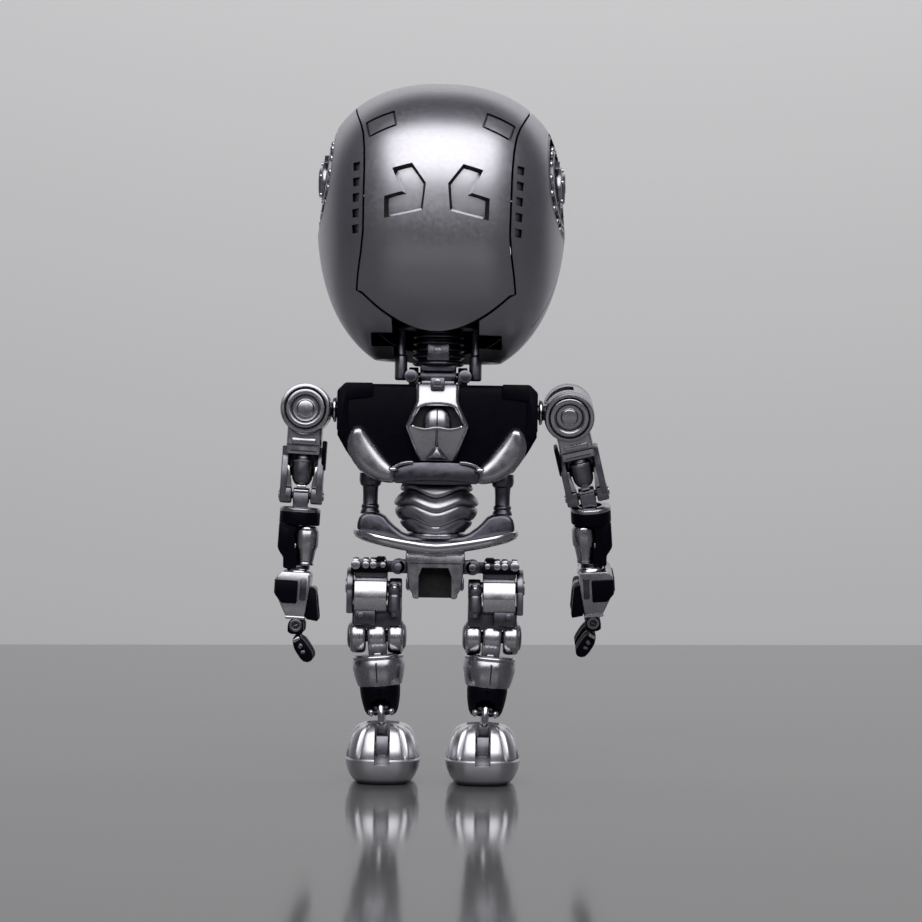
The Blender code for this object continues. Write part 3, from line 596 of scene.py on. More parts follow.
def build_face(home):
    mask = common(head_wall(), face_region(-0.15))
    cutters = neck_way()
    for side, _ in SIDES:
        cutters.append(drum(EYE_RADIUS + 0.3, -34, -16, "Y", (side * EYE_AT[0], 0, EYE_AT[1]), 0, 48))
        cheek = block((side * 14.6 - 0.18, -40, 88), (side * 14.6 + 0.18, -10, 104), 0, (0, side * 12, 0))
        cutters.append(cut(cheek, head_ball(0.5)))
    cutters.append(cut(block((-20, -40, 113.8), (20, -10, 114.15), 0), head_ball(0.5)))
    for half, z in ((5.0, 97.2), (4.4, 95.2), (3.6, 93.2)):
        cutters.append(block((-half, -34, z), (half, -16, z + 1.0), 0.3))
    piece("face_mask", home, ("lacquer", cut(mask, *cutters)))
    for side, word in SIDES:
        at = (side * EYE_AT[0], -24.6, EYE_AT[1])
        dome = [(0, 1.3), (1.5, 1.15), (2.8, 0.65), (3.5, 0.0), (3.5, -1.6), (0, -1.6)]
        rim = [(3.45, -1.8), (EYE_RADIUS, -1.8), (EYE_RADIUS, 0.1), (4.0, 0.55), (3.6, 0.4), (3.45, -0.2)]
        iris = [(0, 1.42), (0.7, 1.4), (0.8, 1.1), (0, 1.0)]
        pairs = [("lens", lathe(dome, sides=40, edge=0.15)), ("chrome", lathe(rim, closed=True, edge=0.1)),
                 ("gun", lathe(iris, sides=24))]
        piece(f"{word}_eye_lens", home, *[(name, placed(form, at, (90, 0, 0))) for name, form in pairs])


def build_head_base(home):
    # The near-black floor inside the head is painted shade.
    floor = common(block((-30, -30, 93.0), (30, 30, 95.0), 0), head_ball(HEAD_WALL + 0.5))
    pairs = [("void", floor), ("gun", drum(6.0, 92.0, 94.4, bore=3.5, edge=0.3))]
    for side, _ in SIDES:
        pairs.append(("gun", block((side * 12.5 - 2.6, -6, 91.6), (side * 12.5 + 2.6, 8.5, 93.4), 0.5)))
        pairs.append(("gun", drum(1.6, 90.9, 92.0, at=(side * 12.4, 9.2, 0), edge=0.2, sides=24)))
    piece("head_base", home, *pairs)


def build_head():
    across = middle("left_eye_lens") - middle("right_eye_lens")
    lean = Matrix.Rotation(math.radians(HEAD_LEAN), 4, Vector((0, 1, 0)))
    about = Matrix.Translation((0, 0, HEAD_PIVOT_Z))
    home = seat((STANCE.x, STANCE.y, 0), across, (0, 0, 1)) @ about @ lean @ about.inverted()
    mirror = home @ Matrix.Diagonal((-1, 1, 1, 1))
    build_crown(home)
    for side, word in SIDES:
        outward = home if side > 0 else mirror
        build_side_shell(outward, word)
        build_ear(outward, word)
    build_face(home)
    build_head_base(home)


# ---------------------------------------------------------------- neck and torso
def build_neck(home):
    """home is the stance: the neck's sizes count from the floor."""
    ribs = [(0, 96.7), (4.2, 96.7), (4.2, 95.8), (3.0, 95.8), (3.0, 91.9), (8.4, 91.9), (8.8, 91.5),
            (8.8, 90.9), (8.4, 90.6), (5.1, 90.4)]
    for number in range(5):
        z = 89.9 - 1.35 * number
        ribs += [(4.5, z), (4.5, z - 0.3), (5.2, z - 0.5), (5.2, z - 0.95)]
    ribs += [(4.6, 83.2), (0, 83.2)]
    pairs = [("gun", lathe(ribs, edge=0.1)), ("gun", block((-3.3, -2.2, 81.0), (3.3, 2.2, 84.0))),
             ("gun", drum(2.5, -3.6, 3.6, "X", (0, 0, 81.0))),
             ("plated", drum(1.0, -6.1, 6.1, "X", (0, 0, 81.0))),
             ("dull", block((-2.2, 4.2, 84.2), (2.2, 5.5, 87.6), 0.4)),
             ("plated", drum(0.7, 5.3, 5.9, "Y", (0, 0, 86.2), 0.12, 20)),
             ("dull", block((-3.4, 1.9, 82.2), (3.4, 3.6, 83.9), 0.4))]
    piece("neck_column", home, *pairs)
    for side, word in SIDES:
        low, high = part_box(f"{word}_neck_strut")
        at = home.inverted() @ ((low + high) / 2)
        rod = [(0, 90.2), (0.9, 90.2), (0.9, 85.4), (1.25, 85.1), (1.25, 80.6), (1.0, 80.3), (0, 80.3)]
        piece(f"{word}_neck_strut", home, ("dull", lathe(rod, at=(at.x, at.y, 0), sides=24, edge=0.1)))


def build_chest(home):
    outline = mirrored([(18.0, 79.4), (19.7, 77.6), (19.7, 69.2), (18.0, 66.2), (15.0, 61.9)])
    body = slab(outline, -8.3, 7.5, edge=0.9, segments=3)
    sockets = [drum(2.9, 18.9, 24, "X", (0, 0, 74.4), 0, 32), drum(2.9, -24, -18.9, "X", (0, 0, 74.4), 0, 32)]
    trench = block((-3.7, -2.9, 76), (3.7, 2.9, 84), 0)
    pairs = [("black", cut(body, *sockets, trench))]
    corner = [(12.7, 79.6), (18.2, 79.6), (19.8, 78.0), (19.8, 70.4), (18.6, 68.4), (17.6, 69.8),
              (17.6, 76.2), (12.7, 76.8)]
    for side, _ in SIDES:
        pairs.append(("black", slab(facing(side, corner), 6.6, 7.95, edge=0.35)))
        pairs.append(("black", slab(facing(side, corner), -8.6, -7.4, edge=0.35)))
        pairs.append(("gun", drum(2.75, side * 19.4 - 0.4, side * 19.4 + 0.4, "X", (0, 0, 74.4), 0.12, 32,
                                  bore=1.7)))
        pairs.append(("gun", block((side * 4.9 - 0.95, -2.0, 78.6), (side * 4.9 + 0.95, 2.0, 81.0), 0.1)))
        pairs.append(("plated", drum(2.0, side * 4.9 - 0.95, side * 4.9 + 0.95, "X", (0, 0, 81.0), 0.2, 32)))
        pairs.append(("dull", drum(1.3, 1.2, 6.2, "Y", (side * 5.35, 0, 81.1), 0.15, 24)))
        pairs.append(("gun", drum(0.8, 6.0, 6.5, "Y", (side * 5.35, 0, 81.1), 0.1, 20)))
        breast = mirrored([(5.0, 4.4), (6.6, 2.2), (5.8, -4.6)])
        breast = [(side * 9.8 + x, 72.0 + z) for x, z in breast]
        pairs.append(("black", slab(breast, -9.8, -8.0, edge=0.8, segments=3)))
    pairs.append(("black", slab(mirrored([(3.0, 78.0), (2.2, 66.0), (1.4, 63.4)]), -9.2, -8.0, edge=0.4)))
    pairs.append(("plated", drum(1.7, -10.0, -8.6, "Y", (0, 0, 73.4), 0.3, 32, bore=1.1)))
    pairs.append(("lens", ball((1.15, 0.7, 1.15), (0, -9.2, 73.4), around=20, along=12)))
    pairs.append(("dull", block((-3.3, 2.9, 79.0), (3.3, 6.6, 80.2), 0.3)))
    piece("chest_block", home, *pairs)


def spine_front(z):
    """How far the spine plate stands out at a height."""
    knots = ((64.0, 9.2), (71.2, 10.9), (75.8, 10.5), (79.6, 9.3))
    for (low, start), (high, end) in zip(knots, knots[1:]):
        if z <= high:
            return start + (end - start) * (z - low) / (high - low)
    return knots[-1][1]


def build_spine(home):
    rows = ((79.5, 4.2), (78.0, 4.2), (76.0, 4.2), (75.6, 4.35), (73.4, 5.3), (71.3, 6.25), (70.6, 6.1),
            (68.0, 5.1), (66.0, 4.3), (64.3, 3.6))
    loops = []
    for z, half in rows:
        out = spine_front(z)
        loops.append([(-half, 8.0, z), (-half, out - 0.55, z), (-half + 0.6, out, z), (half - 0.6, out, z),
                      (half, out - 0.55, z), (half, 8.0, z)])
    window = mirrored([(3.1, 75.2), (5.35, 71.5), (4.7, 70.6)])
    body = cut(rounded(skin(loops), 0.15, 1), slab(window, 8.8, 14, edge=0))
    dome = cut(ball((2.85, 2.0, 3.5), (0, 8.9, 71.5), power=2.3, around=40, along=24),
               block((-6, 4, 60), (6, 14, 70.9), 0), block((-0.12, 9, 60), (0.12, 14, 80), 0))
    brow = [(-5.3, 10.75, 71.6), (-3.2, 10.35, 75.2), (3.2, 10.35, 75.2), (5.3, 10.75, 71.6)]
    sill = [(-5.0, 10.6, 70.9), (-2.4, 10.9, 70.45), (0, 11.0, 70.75), (2.4, 10.9, 70.45), (5.0, 10.6, 70.9)]
    crest = skin([[(-2.5, 9.3, 64.5), (2.5, 9.3, 64.5), (0.35, 9.8, 67.4), (-0.35, 9.8, 67.4)],
                  [(-0.9, 10.75, 65.1), (0.9, 10.75, 65.1), (0.15, 10.7, 66.5), (-0.15, 10.7, 66.5)]])
    keel = skin([[(-0.35, 10.0, z) for z in (70.3, 67.2)] + [(0.35, 10.0, z) for z in (67.2, 70.3)],
                 [(-0.12, 11.0, 70.2), (-0.12, 10.2, 67.3), (0.12, 10.2, 67.3), (0.12, 11.0, 70.2)]])
    # The near-black sheet on the window's recess floor is painted shade.
    pairs = [("plated", body), ("void", slab(window, 8.55, 8.9, edge=0)), ("plated", dome),
             ("chrome", pipe(brow, 0.34, 10, 5)), ("chrome", pipe(sill, 0.3, 10, 4)),
             ("plated", rounded(crest, 0.12)), ("dull", keel),
             ("dull", block((-1.4, 9.0, 78.3), (1.4, 10.5, 80.7), 0.3)),
             ("plated", drum(0.55, 10.2, 10.85, "Y", (0, 0, 79.9), 0.12, 20)),
             ("gun", block((-0.9, 10.3, 78.6), (0.9, 10.6, 79.1), 0.1))]
    for side, _ in SIDES:
        pairs.append(("chrome", ball((0.42, 0.42, 0.42), (side * 4.75, 10.5, 71.0), around=12, along=8)))
    piece("spine_plate", home, *pairs)


def band(one, two, back, front, steps=6, ends=8.0):
    """A rounded bar between two edges in the rear view, standing out from back to front."""
    paths = [curve_through([(x, 0, z) for x, z in edge], steps) for edge in (one, two)]
    last = len(paths[0]) - 1
    loops = []
    for number, (a, b) in enumerate(zip(*paths)):
        share = min(1.0, ends * number / last + 0.15, ends * (last - number) / last + 0.15)
        crown = math.sqrt(1 - (1 - share) ** 2)
        loop = []
        for k in range(15):
            turn = math.pi * k / 14
            reach = math.copysign(abs(math.cos(turn)) ** 0.8, -math.cos(turn)) * (0.4 + 0.6 * crown) / 2
            at = (a + b) / 2 + (b - a) * reach
            loop.append((at.x, back + (front - back) * crown * max(0.0, math.sin(turn)) ** 0.6, at.z))
        loops.append(loop)
    return skin(loops)


RIB_INNER = ((14.7, 71.1), (13.1, 68.9), (11.4, 66.7), (9.9, 64.7), (8.2, 62.9))
RIB_OUTER = ((16.6, 71.0), (17.7, 67.6), (16.2, 63.6), (12.4, 60.6), (8.0, 59.6))


def build_ribs(home):
    """Two arms that curve up round the chest from a collar over the waist."""
    collar = mirrored([(4.5, 64.1), (6.2, 63.5), (8.6, 62.7), (8.8, 60.4), (7.6, 59.7), (5.0, 60.4)])
    front = mirrored([(6.0, 62.5), (8.8, 62.4), (8.6, 60.2), (6.0, 59.8)])
    pairs = [("dull", drum(7.2, 59.7, 61.6, edge=0.35, squash=0.95)),
             ("gun", slab(smoothed(collar, 1), 7.4, 9.6, edge=0.4)),
             ("gun", block((-7.0, 0, 59.7), (7.0, 9.2, 61.3), 0.5))]
    for side, _ in SIDES:
        inner, outer = facing(side, RIB_INNER), facing(side, RIB_OUTER)
        pairs.append(("plated", band(inner, outer, 7.9, 10.7)))
        pairs.append(("plated", band(inner, outer, -7.9, -9.7)))
        tip = [(8.7, 10.4, 62.7), (7.4, 10.2, 63.5), (5.9, 10.0, 63.9), (4.6, 9.9, 64.0)]
        pairs.append(("chrome", pipe(facing(side, tip), 0.32, 10)))
        pairs.append(("chrome", ball((0.95, 0.5, 0.45), (side * 8.6, 10.35, 62.6), around=16, along=10)))
        root = [(13.4, 67.0), (16.8, 67.6), (15.4, 63.6), (11.6, 64.6)]
        pairs.append(("dull", slab(facing(side, root), -8.4, 8.6, edge=0.4)))
    pairs.append(("plated", slab(smoothed(front, 1), -9.4, -7.0, edge=0.45)))
    piece("rib_yoke", home, *pairs)


def build_waist(home):
    """A ribbed boot whose folds sag in the middle, at the back and in front."""
    folds = ((60.8, 5.9), (58.0, 7.2), (55.2, 8.4), (52.4, 7.6), (49.8, 5.9))
    profile = []
    for (high, wide), (low, narrow) in zip(folds, folds[1:]):
        for k in range(11):
            t = k / 11
            swell = 0.95 * math.sin(math.pi * t) ** 0.5 - 0.7
            profile.append((high + (low - high) * t, wide + (narrow - wide) * min(1.0, t * 1.3) + swell))
    loops = [[(0, 0, 60.9)]]
    for z, radius in profile:
        sag = 1.7 * max(0.0, min(1.0, (61.0 - z) / 2.0, (z - 49.4) / 2.0))
        loop = []
        for k in range(96):
            a = math.tau * k / 96
            across = abs(radius * math.cos(a))
            wave = math.exp(-(across / 2.6) ** 2) - 0.5 * math.exp(-((across - 5) / 1.7) ** 2)
            loop.append((radius * math.cos(a), 0.86 * radius * math.sin(a), z - 0.62 * sag * wave))
        loops.append(loop)
    piece("waist_bellows", home, ("folds", skin([*loops, [(0, 0, 49.0)]])),
          ("plated", drum(5.9, 48.9, 49.9, edge=0.3, squash=0.86)), sharp=50)
    for side, word in SIDES:
        x = side * 13.2
        rod = [(0, 61.8), (2.2, 61.8), (2.25, 60.2), (2.0, 59.4), (1.6, 59.1), (1.5, 57.6), (1.5, 55.6),
               (1.75, 55.4), (1.8, 54.9), (1.6, 54.7), (1.9, 54.2), (2.0, 53.6), (0, 53.6)]
        piece(f"{word}_waist_strut", home, ("gun", lathe(rod, at=(x, 0, 0), sides=32, edge=0.12)))


def build_pelvis(home):
    def dish(r, a, lift):
        c, s = math.cos(a), math.sin(a)
        reach = r * (abs(c) ** 3.2 + abs(s) ** 3.2) ** (-1 / 3.2)
        x, y = 16.5 * reach * c, 8.0 * reach * s
        return (x, y, 46.7 + 2.9 * (abs(x) / 16.5) ** 1.4 + lift)

    turns = [math.tau * k / 72 for k in range(72)]
    rings = [(0.955, 1.3), (0.985, 1.2), (1.0, 0.95), (1.0, 0.1), (0.97, -0.45), (0.9, -0.8), (0.8, -0.9),
             (0.4, -0.4), (0.3, 0.6), (0.6, 0.9), (0.88, 0.95), (0.92, 1.2)]
    saucer = skin([[dish(r, a, lift) for a in turns] for r, lift in rings], closed=True)
    half = [(3.0, 49.2), (6.2, 49.6), (8.8, 51.6), (10.6, 53.7), (13.6, 54.1), (15.2, 53.2), (15.7, 51.4),
            (15.5, 50.0), (9.0, 48.0), (3.4, 47.4)]
    mound = slab(smoothed(mirrored(half), 1), -4.2, 4.2, edge=1.0, segments=3)
    piece("pelvis_wings", home, ("chrome", saucer), ("gun", mound), sharp=45)
    barrel = lathe([(0, -5.8), (2.2, -5.8), (2.5, -5.3), (2.5, 5.3), (2.2, 5.8), (0, 5.8)], "X",
                   (0, 3.2, 46.3), edge=0.15)
    body = slab(mirrored([(5.9, 46.3), (5.9, 44.4), (5.6, 43.9), (5.5, 39.4), (4.5, 38.0), (4.4, 37.0)]),
                -5.6, 5.6, edge=0.45)
    socket = mirrored([(2.6, 43.2), (3.3, 41.4), (3.3, 36.0)])
    body = cut(body, slab(socket, 0.7, 8.0, edge=0), block((-5.0, 5.3, 43.85), (5.0, 8, 44.15), 0))
    lugs = [(5.3, 41.4), (5.75, 41.0), (5.75, 39.0), (5.2, 38.5)]
    back = socket[:2] + [(3.3, 37.1), (-3.3, 37.1)] + socket[4:]
    # The near-black liner on the socket's back floor is painted shade.
    pairs = [("plated", body), ("plated", barrel), ("void", slab(back, 0.6, 0.9, edge=0))]
    for side, _ in SIDES:
        pairs.append(("dull", slab(facing(side, lugs), 2.6, 5.9, edge=0.2)))
        # The near-black liners on the socket's side walls are painted shade.
        wall = [(3.31, 41.3), (3.31, 37.2), (3.15, 37.2), (3.15, 41.3)]
        pairs.append(("void", slab(facing(side, wall), 0.8, 5.2, edge=0)))
        for y in (-2.75, 2.75):
            pairs.append(("gun", block((side * 6.0 - 1.2, y - 0.85, 41.9), (side * 6.0 + 1.2, y + 0.85, 44.5),
                                       0.15)))
            pairs.append(("gun", drum(1.5, y - 0.85, y + 0.85, "Y", (side * 7.4, 0, 43.2), 0.2, 28)))
            out = math.copysign(0.85, y)
            pairs.append(("dull", drum(0.8, *sorted((y + out * 0.9, y + out * 1.4)), "Y",
                                       (side * 7.4, 0, 43.2), 0.15, 20)))
    # The near-black strip along the socket's roof is painted shade.
    pairs.append(("void", slab([(-2.6, 43.25), (2.6, 43.25), (2.6, 43.0), (-2.6, 43.0)], 0.8, 5.2, edge=0)))
    pairs.append(("plated", slab(mirrored([(3.2, 46.0), (3.6, 42.0), (2.2, 38.6)]), -6.6, -5.2, edge=0.5,
                                 segments=3)))
    piece("pelvis_block", home, *pairs)


def build_torso():
    home = seat((STANCE.x, STANCE.y, 0), (1, 0, 0), (0, 0, 1))
    build_neck(home)
    build_chest(home)
    build_spine(home)
    build_ribs(home)
    build_waist(home)
    build_pelvis(home)


# ---------------------------------------------------------------- arms
def build_shoulder(swing, lift, word):
    pin = [(0, -5.6), (1.6, -5.6), (1.6, 0.0), (2.6, 0.1), (2.6, 0.6), (1.7, 0.8), (1.5, 2.4), (0, 2.4)]
    hub = cut(drum(3.8, -1.3, 1.3, "Y", (6.0, 0, 0), 0.2, 40), drum(1.8, -4, 4, "Y", (6.0, 0, 0), 0, 32))
    piece(f"{word}_shoulder_axle", swing, ("chrome", lathe(pin, "X", sides=32, edge=0.12)),
          ("gun", block((0.4, -1.3, -1.4), (4.0, 1.3, 1.4), 0.3)), ("gun", hub))
    barrel = drum(5.0, -5.0, 5.0, "Y", edge=0.45, sides=64)
    cutters = [drum(4.2, -1.65, 1.65, "Y", edge=0, sides=48), block((-6, -1.65, -2.0), (2.0, 1.65, 6), 0),
               drum(4.25, 4.2, 6, "Y", edge=0, sides=48), drum(4.25, -6, -4.2, "Y", edge=0, sides=48)]
    for y in (-3.3, 3.3):
        cutters.append(lathe([(4.8, y - 0.14), (5.3, y - 0.14), (5.3, y + 0.14), (4.8, y + 0.14)], "Y",
                             sides=64, closed=True))
    piece(f"{word}_shoulder_drum", lift, ("plated", rounded(cut(barrel, *cutters), 0.0)),
          ("gun", drum(1.5, -4.6, 3.4, "Y", edge=0.1)),
          ("plated", lathe([(2.9, -4.9), (3.9, -4.9), (4.1, -4.6), (4.1, -4.1), (2.7, -4.1)], "Y",
                           closed=True, edge=0.1)))
    cap = [(0, 0.0), (4.05, 0.0), (4.05, 0.55), (3.8, 0.95), (3.1, 1.0), (2.85, 0.8), (2.7, 0.25),
           (1.75, 0.2), (1.6, 0.45), (1.3, 0.55), (0, 0.55)]
    # The thin near-black ring in the cap's groove is painted shade.
    piece(f"{word}_shoulder_cap", lift, ("plated", lathe(cap, "Y", (0, 4.05, 0), sides=56, edge=0.12)),
          ("void", lathe([(2.5, 4.15), (2.72, 4.15), (2.72, 4.4), (2.5, 4.4)], "Y", closed=True)))


def build_upper_arm(home, word):
    """A collar under the shoulder drum, side bars with bright inner plates, and a fork at the elbow."""
    ears = -ELBOW_DROP
    collar = cut(block((-3.4, -3.0, -9.2), (3.4, 3.2, -3.4), 0.5), drum(5.12, -6, 6, "Y", edge=0, sides=72),
                 block((-4, 2.7, -7.55), (4, 4, -7.15), 0), block((-2.6, 2.9, -8.6), (2.6, 4, -8.35), 0))
    pairs = [("plated", collar), ("plated", block((-2.4, 2.4, -7.1), (2.4, 3.5, -5.9), 0.3)),
             ("dull", drum(0.7, -3.0, 3.0, "X", (0, 0, ears), 0.1, 20)),
             ("dull", block((-3.0, -1.95, -13.5), (3.0, -1.3, -8.8), 0.15))]
    for out in (1, -1):
        x = out * 3.55
        bar = [(2.3, -7.6), (-1.5, -7.6), (-1.5, ears), (2.4, ears), (2.6, -12.4), (1.6, -9.4)]
        pairs.append(("dull", slab(bar, x - 0.65, x + 0.65, "X", 0.25)))
        plate = [(2.5, -11.6), (3.4, -11.2), (3.4, -15.6), (1.9, -15.8), (2.3, -13.6)]
        pairs.append(("chrome", slab(facing(out, plate), -1.2, 2.2, edge=0.15)))
        low, high = sorted((out * 1.9, out * 4.3))
        pairs.append(("dull", drum(1.65, low, high, "X", (0, 0, ears), 0.3, 36)))
        pairs.append(("dull", block((low, 0.0, ears - 1.4), (high, 2.35, ears + 1.5), 0.4)))
        pairs.append(("plated", drum(0.8, *sorted((out * 4.2, out * 4.55)), "X", (0, 0, ears), 0.1, 20)))
    pairs.append(("black", slab([(-2.0, -6.2), (2.6, -6.2), (2.9, -8.4), (1.9, -12.2), (-1.4, -12.2)], -4.5,
                                -3.7, "X", 0.3)))
    pairs.append(("plated", slab([(-1.1, -8.0), (0, -7.2), (1.1, -8.0), (0, -8.8)], -3.4, -2.7, edge=0.12)))
    piece(f"{word}_upper_arm_frame", home, *pairs)
    ram = [(0, -9.4), (1.5, -9.4), (1.6, -10.0), (2.05, -10.2), (2.1, -10.5), (2.1, -13.4), (1.95, -14.2),
           (1.5, -15.0), (0.9, -15.4), (0, -15.4)]
    piece(f"{word}_upper_arm_ram", home, ("dull", lathe(ram, at=(0, 0.9, 0), sides=40, edge=0.12)),
          ("plated", lathe([(1.95, -10.7), (2.2, -10.7), (2.2, -10.35), (1.95, -10.35)], at=(0, 0.9, 0),
                           closed=True)),
          ("chrome", block((-0.9, -0.3, -16.0), (0.9, 1.9, -15.2), 0.25)))


def build_elbow(home, word):
    drop = -TILT_DROP
    body = cut(drum(1.6, -1.6, 1.6, "X", edge=0.2), drum(1.0, -3, 3, "X", edge=0))
    piece(f"{word}_elbow_block", home, ("dull", body),
          ("dull", block((-1.4, -1.3, drop), (1.4, 1.3, -0.6), 0.2)),
          ("chrome", block((-1.5, 1.0, 0.75), (1.5, 1.75, 1.15), 0.12)),
          ("dull", block((-1.5, 0.6, -2.4), (1.5, 1.8, 0.6), 0.2)),
          ("dull", drum(1.4, -1.5, 1.5, "Y", (0, 0, drop), 0.15, 28, bore=0.8)))


def build_forearm(home, word):
    """A black collar with a dished silver top, a stepped outer panel and a tapered ram beside it."""
    collar = cut(drum(4.05, -2.5, 0.7, edge=0.35, sides=56, squash=0.92),
                 block((-1.9, -1.85, -1.4), (1.9, 1.85, 3), 0))
    top = lathe([(2.3, 0.5), (4.06, 0.1), (4.08, 0.75), (3.8, 1.0), (3.1, 1.15), (2.3, 1.15)], squash=0.92,
                closed=True, edge=0.08)
    panel = [(3.9, -2.0), (3.95, -7.2), (3.2, -8.4), (2.7, -8.9), (2.6, -11.2), (-0.2, -11.2), (0.0, -8.0),
             (0.7, -4.4), (-0.2, -2.0)]
    pairs = [("black", collar), ("plated", top), ("black", slab(panel, -2.75, 2.75, edge=0.4)),
             ("black", slab([(3.3, -2.8), (3.3, -6.4), (1.9, -7.6), (1.5, -3.4)], 2.5, 3.05, edge=0.2)),
             ("black", drum(0.5, -2.6, 2.6, "Y", edge=0.1, sides=16)),
             ("gun", drum(2.6, -11.3, -10.5, edge=0.2)),
             ("plated", ball((0.22, 0.2, 0.5), (0.4, 2.75, -6.6), around=12, along=8))]
    piece(f"{word}_forearm_shell", home, *pairs)
    ram = [(0, -2.6), (1.5, -2.6), (2.0, -2.9), (2.35, -3.6), (2.4, -5.0), (2.3, -6.6), (1.95, -7.3),
           (1.6, -9.5), (1.55, -9.8), (1.65, -10.0), (1.65, -10.4), (0, -10.4)]
    piece(f"{word}_forearm_ram", home, ("plated", lathe(ram, at=(-1.7, 0.9, 0), sides=40, edge=0.12)),
          ("chrome", ball((1.1, 0.5, 0.5), (-1.7, 2.9, -3.1), around=20, along=10)))


def build_hand(wrist, knuckle, tip, thumb, word):
    palm = [(-2.9, 0), (2.6, 0), (3.7, -1.2), (3.7, -4.4), (1.3, -9.0), (-2.4, -9.0), (-3.1, -3.4),
            (-3.1, -0.6)]
    bracket = cut(slab(palm, -4.5, 4.5, edge=0.4), block((-5.0, -5.5, -9.5), (-2.0, -0.95, -2.6), 0))
    cuff = lathe([(0, 0.6), (2.2, 0.5), (2.7, 0.0), (2.9, -1.0), (0, -1.0)], at=(-0.6, 1.2, 0.1), sides=40,
                 edge=0.2)
    lug = block((-1.9, -0.75, -KNUCKLE_DROP), (0.3, 0.75, -8.6), 0.1)
    panel = [(3.75, -1.7), (3.75, -4.7), (2.3, -6.3), (-0.7, -6.3), (-0.7, -1.7)]
    pairs = [("plated", bracket), ("chrome", cuff), ("black", slab(panel, 4.1, 4.95, edge=0.25)),
             ("black", slab(panel, -4.95, -4.1, edge=0.25)),
             ("black", block((3.2, -3.6, -4.6), (4.0, 3.6, -1.6), 0.25)),
             ("chrome", block((-2.5, -4.4, -9.4), (1.4, 4.8, -8.75), 0.2)),
             ("gun", block((-2.4, 3.9, -5.6), (-1.2, 4.75, -1.2), 0.25)),
             ("dull", lug), ("dull", drum(1.1, -0.75, 0.75, "Y", (-0.8, 0, -KNUCKLE_DROP), 0.1, 24)),
             ("dull", drum(1.2, -0.95, 1.3, "Y", (-3.3, 0, -4.0), 0.15, 24)),
             ("gun", drum(0.9, -0.5, 0.9, edge=0.1, sides=24))]
    piece(f"{word}_hand_bracket", wrist, *pairs)
    near = [(-1.5, -1.75), (-1.6, 0.2), (-1.1, 1.05), (-0.4, 1.3), (0.5, 1.3), (1.2, 1.0), (1.6, 0.1),
            (1.5, -1.75)]
    # The near-black disc inside the knuckle's end ring is painted shade.
    pairs = [("black", drum(0.5, -4.2, 4.2, "Y", edge=0.05, sides=16)),
             ("black", block((-1.1, -1.35, -2.0), (0.5, 1.35, -1.55), 0.1)),
             ("dull", drum(0.8, -0.75, 0.75, "Y", (-0.3, 0, -TIP_DROP), 0.1, 20)),
             ("dull", lathe([(0.72, 4.7), (1.25, 4.7), (1.25, 5.05), (0.72, 5.05)], "Y", closed=True,
                            edge=0.08)),
             ("void", drum(0.72, 4.7, 4.88, "Y", edge=0, sides=24)),
             ("dull", block((-0.45, 4.8, -0.12), (0.45, 5.02, 0.12), 0.05, (0, 30, 0)))]
    pairs += [("black", slab(smoothed(near, 1), y - 0.85, y + 0.85, edge=0.15)) for y in FINGER_ROWS]
    piece(f"{word}_finger_knuckles", knuckle, *pairs)
    far = [(-0.45, 0.6), (0.45, 0.6), (0.85, 0.0), (1.35, -1.4), (1.25, -4.2), (0.4, -5.1), (-0.7, -5.1),
           (-1.35, -4.1), (-1.3, -1.0), (-0.85, 0.0)]
    pairs = [("black", slab(smoothed(far, 1), y - 0.8, y + 0.8, edge=0.15)) for y in FINGER_ROWS]
    pairs += [("black", drum(0.3, -4.2, 4.2, "Y", edge=0, sides=12)),
              ("plated", block((-0.75, 4.5, -0.35), (0.75, 4.95, 0.35), 0.15)),
              ("dull", block((-0.5, 4.6, -1.9), (0.45, 4.95, -1.2), 0.12, (0, 25, 0))),
              ("dull", block((-0.3, 4.6, -3.1), (0.6, 4.9, -2.5), 0.12, (0, -20, 0)))]
    piece(f"{word}_fingertips", tip, *pairs)
    shape = [(-0.95, 0.7), (-0.5, 1.1), (0.6, 1.1), (1.0, 0.7), (1.0, -4.2), (0.5, -5.3), (-1.7, -5.6),
             (-1.8, -4.9), (-1.3, -1.5)]
    piece(f"{word}_thumb", thumb, ("black", slab(shape, -3.7, -1.3, edge=0.2)),
          ("black", slab(shape, 1.6, 3.9, edge=0.2)),
          ("black", block((-0.8, -1.5, -3.6), (0.6, 2.0, -2.2), 0.2)),
          ("dull", drum(0.45, -2.0, 1.9, "Y", edge=0.05, sides=16)))


def build_arm(side, word):
    """An arm's frames: X lies along the elbow's pin, Y along the pins that run from back to front."""
    def way(name, sign=1):
        return sign * Vector(JOINT[f"{word}_{name}"]["axis"])

    def at(name):
        return JOINT[f"{word}_{name}"]["pos_m"]

    def upright(x, y):
        return Vector(x).cross(Vector(y))

    swing_x, raise_y = way("shoulder_swing"), way("shoulder_raise", -side)
    arm_x = way("elbow", -1)
    hand_z, hand_y = way("wrist", side), way("forearm_tilt", -side)
    hand_x = hand_y.cross(hand_z)
    curled = Matrix.Rotation(side * math.radians(FINGER_CURL), 3, hand_y)
    swing = seat(at("shoulder_swing"), swing_x, upright(swing_x, raise_y), side)
    lift = seat(at("shoulder_raise"), arm_x, upright(arm_x, raise_y), side)
    elbow = seat(at("elbow"), arm_x, upright(arm_x, raise_y), side)
    forearm = seat(at("forearm_tilt"), hand_x, hand_z, side)
    wrist = seat(at("wrist"), hand_x, hand_z, side)
    knuckle = seat(at("knuckles"), hand_x, hand_z, side)
    tip = seat(at("fingertip_curl"), curled @ hand_x, curled @ hand_z, side)
    thumb = seat(at("thumb_swing"), hand_x, hand_z, side)
    build_shoulder(swing, lift, word)
    build_upper_arm(lift, word)
    build_elbow(elbow, word)
    build_forearm(forearm, word)
    build_hand(wrist, knuckle, tip, thumb, word)


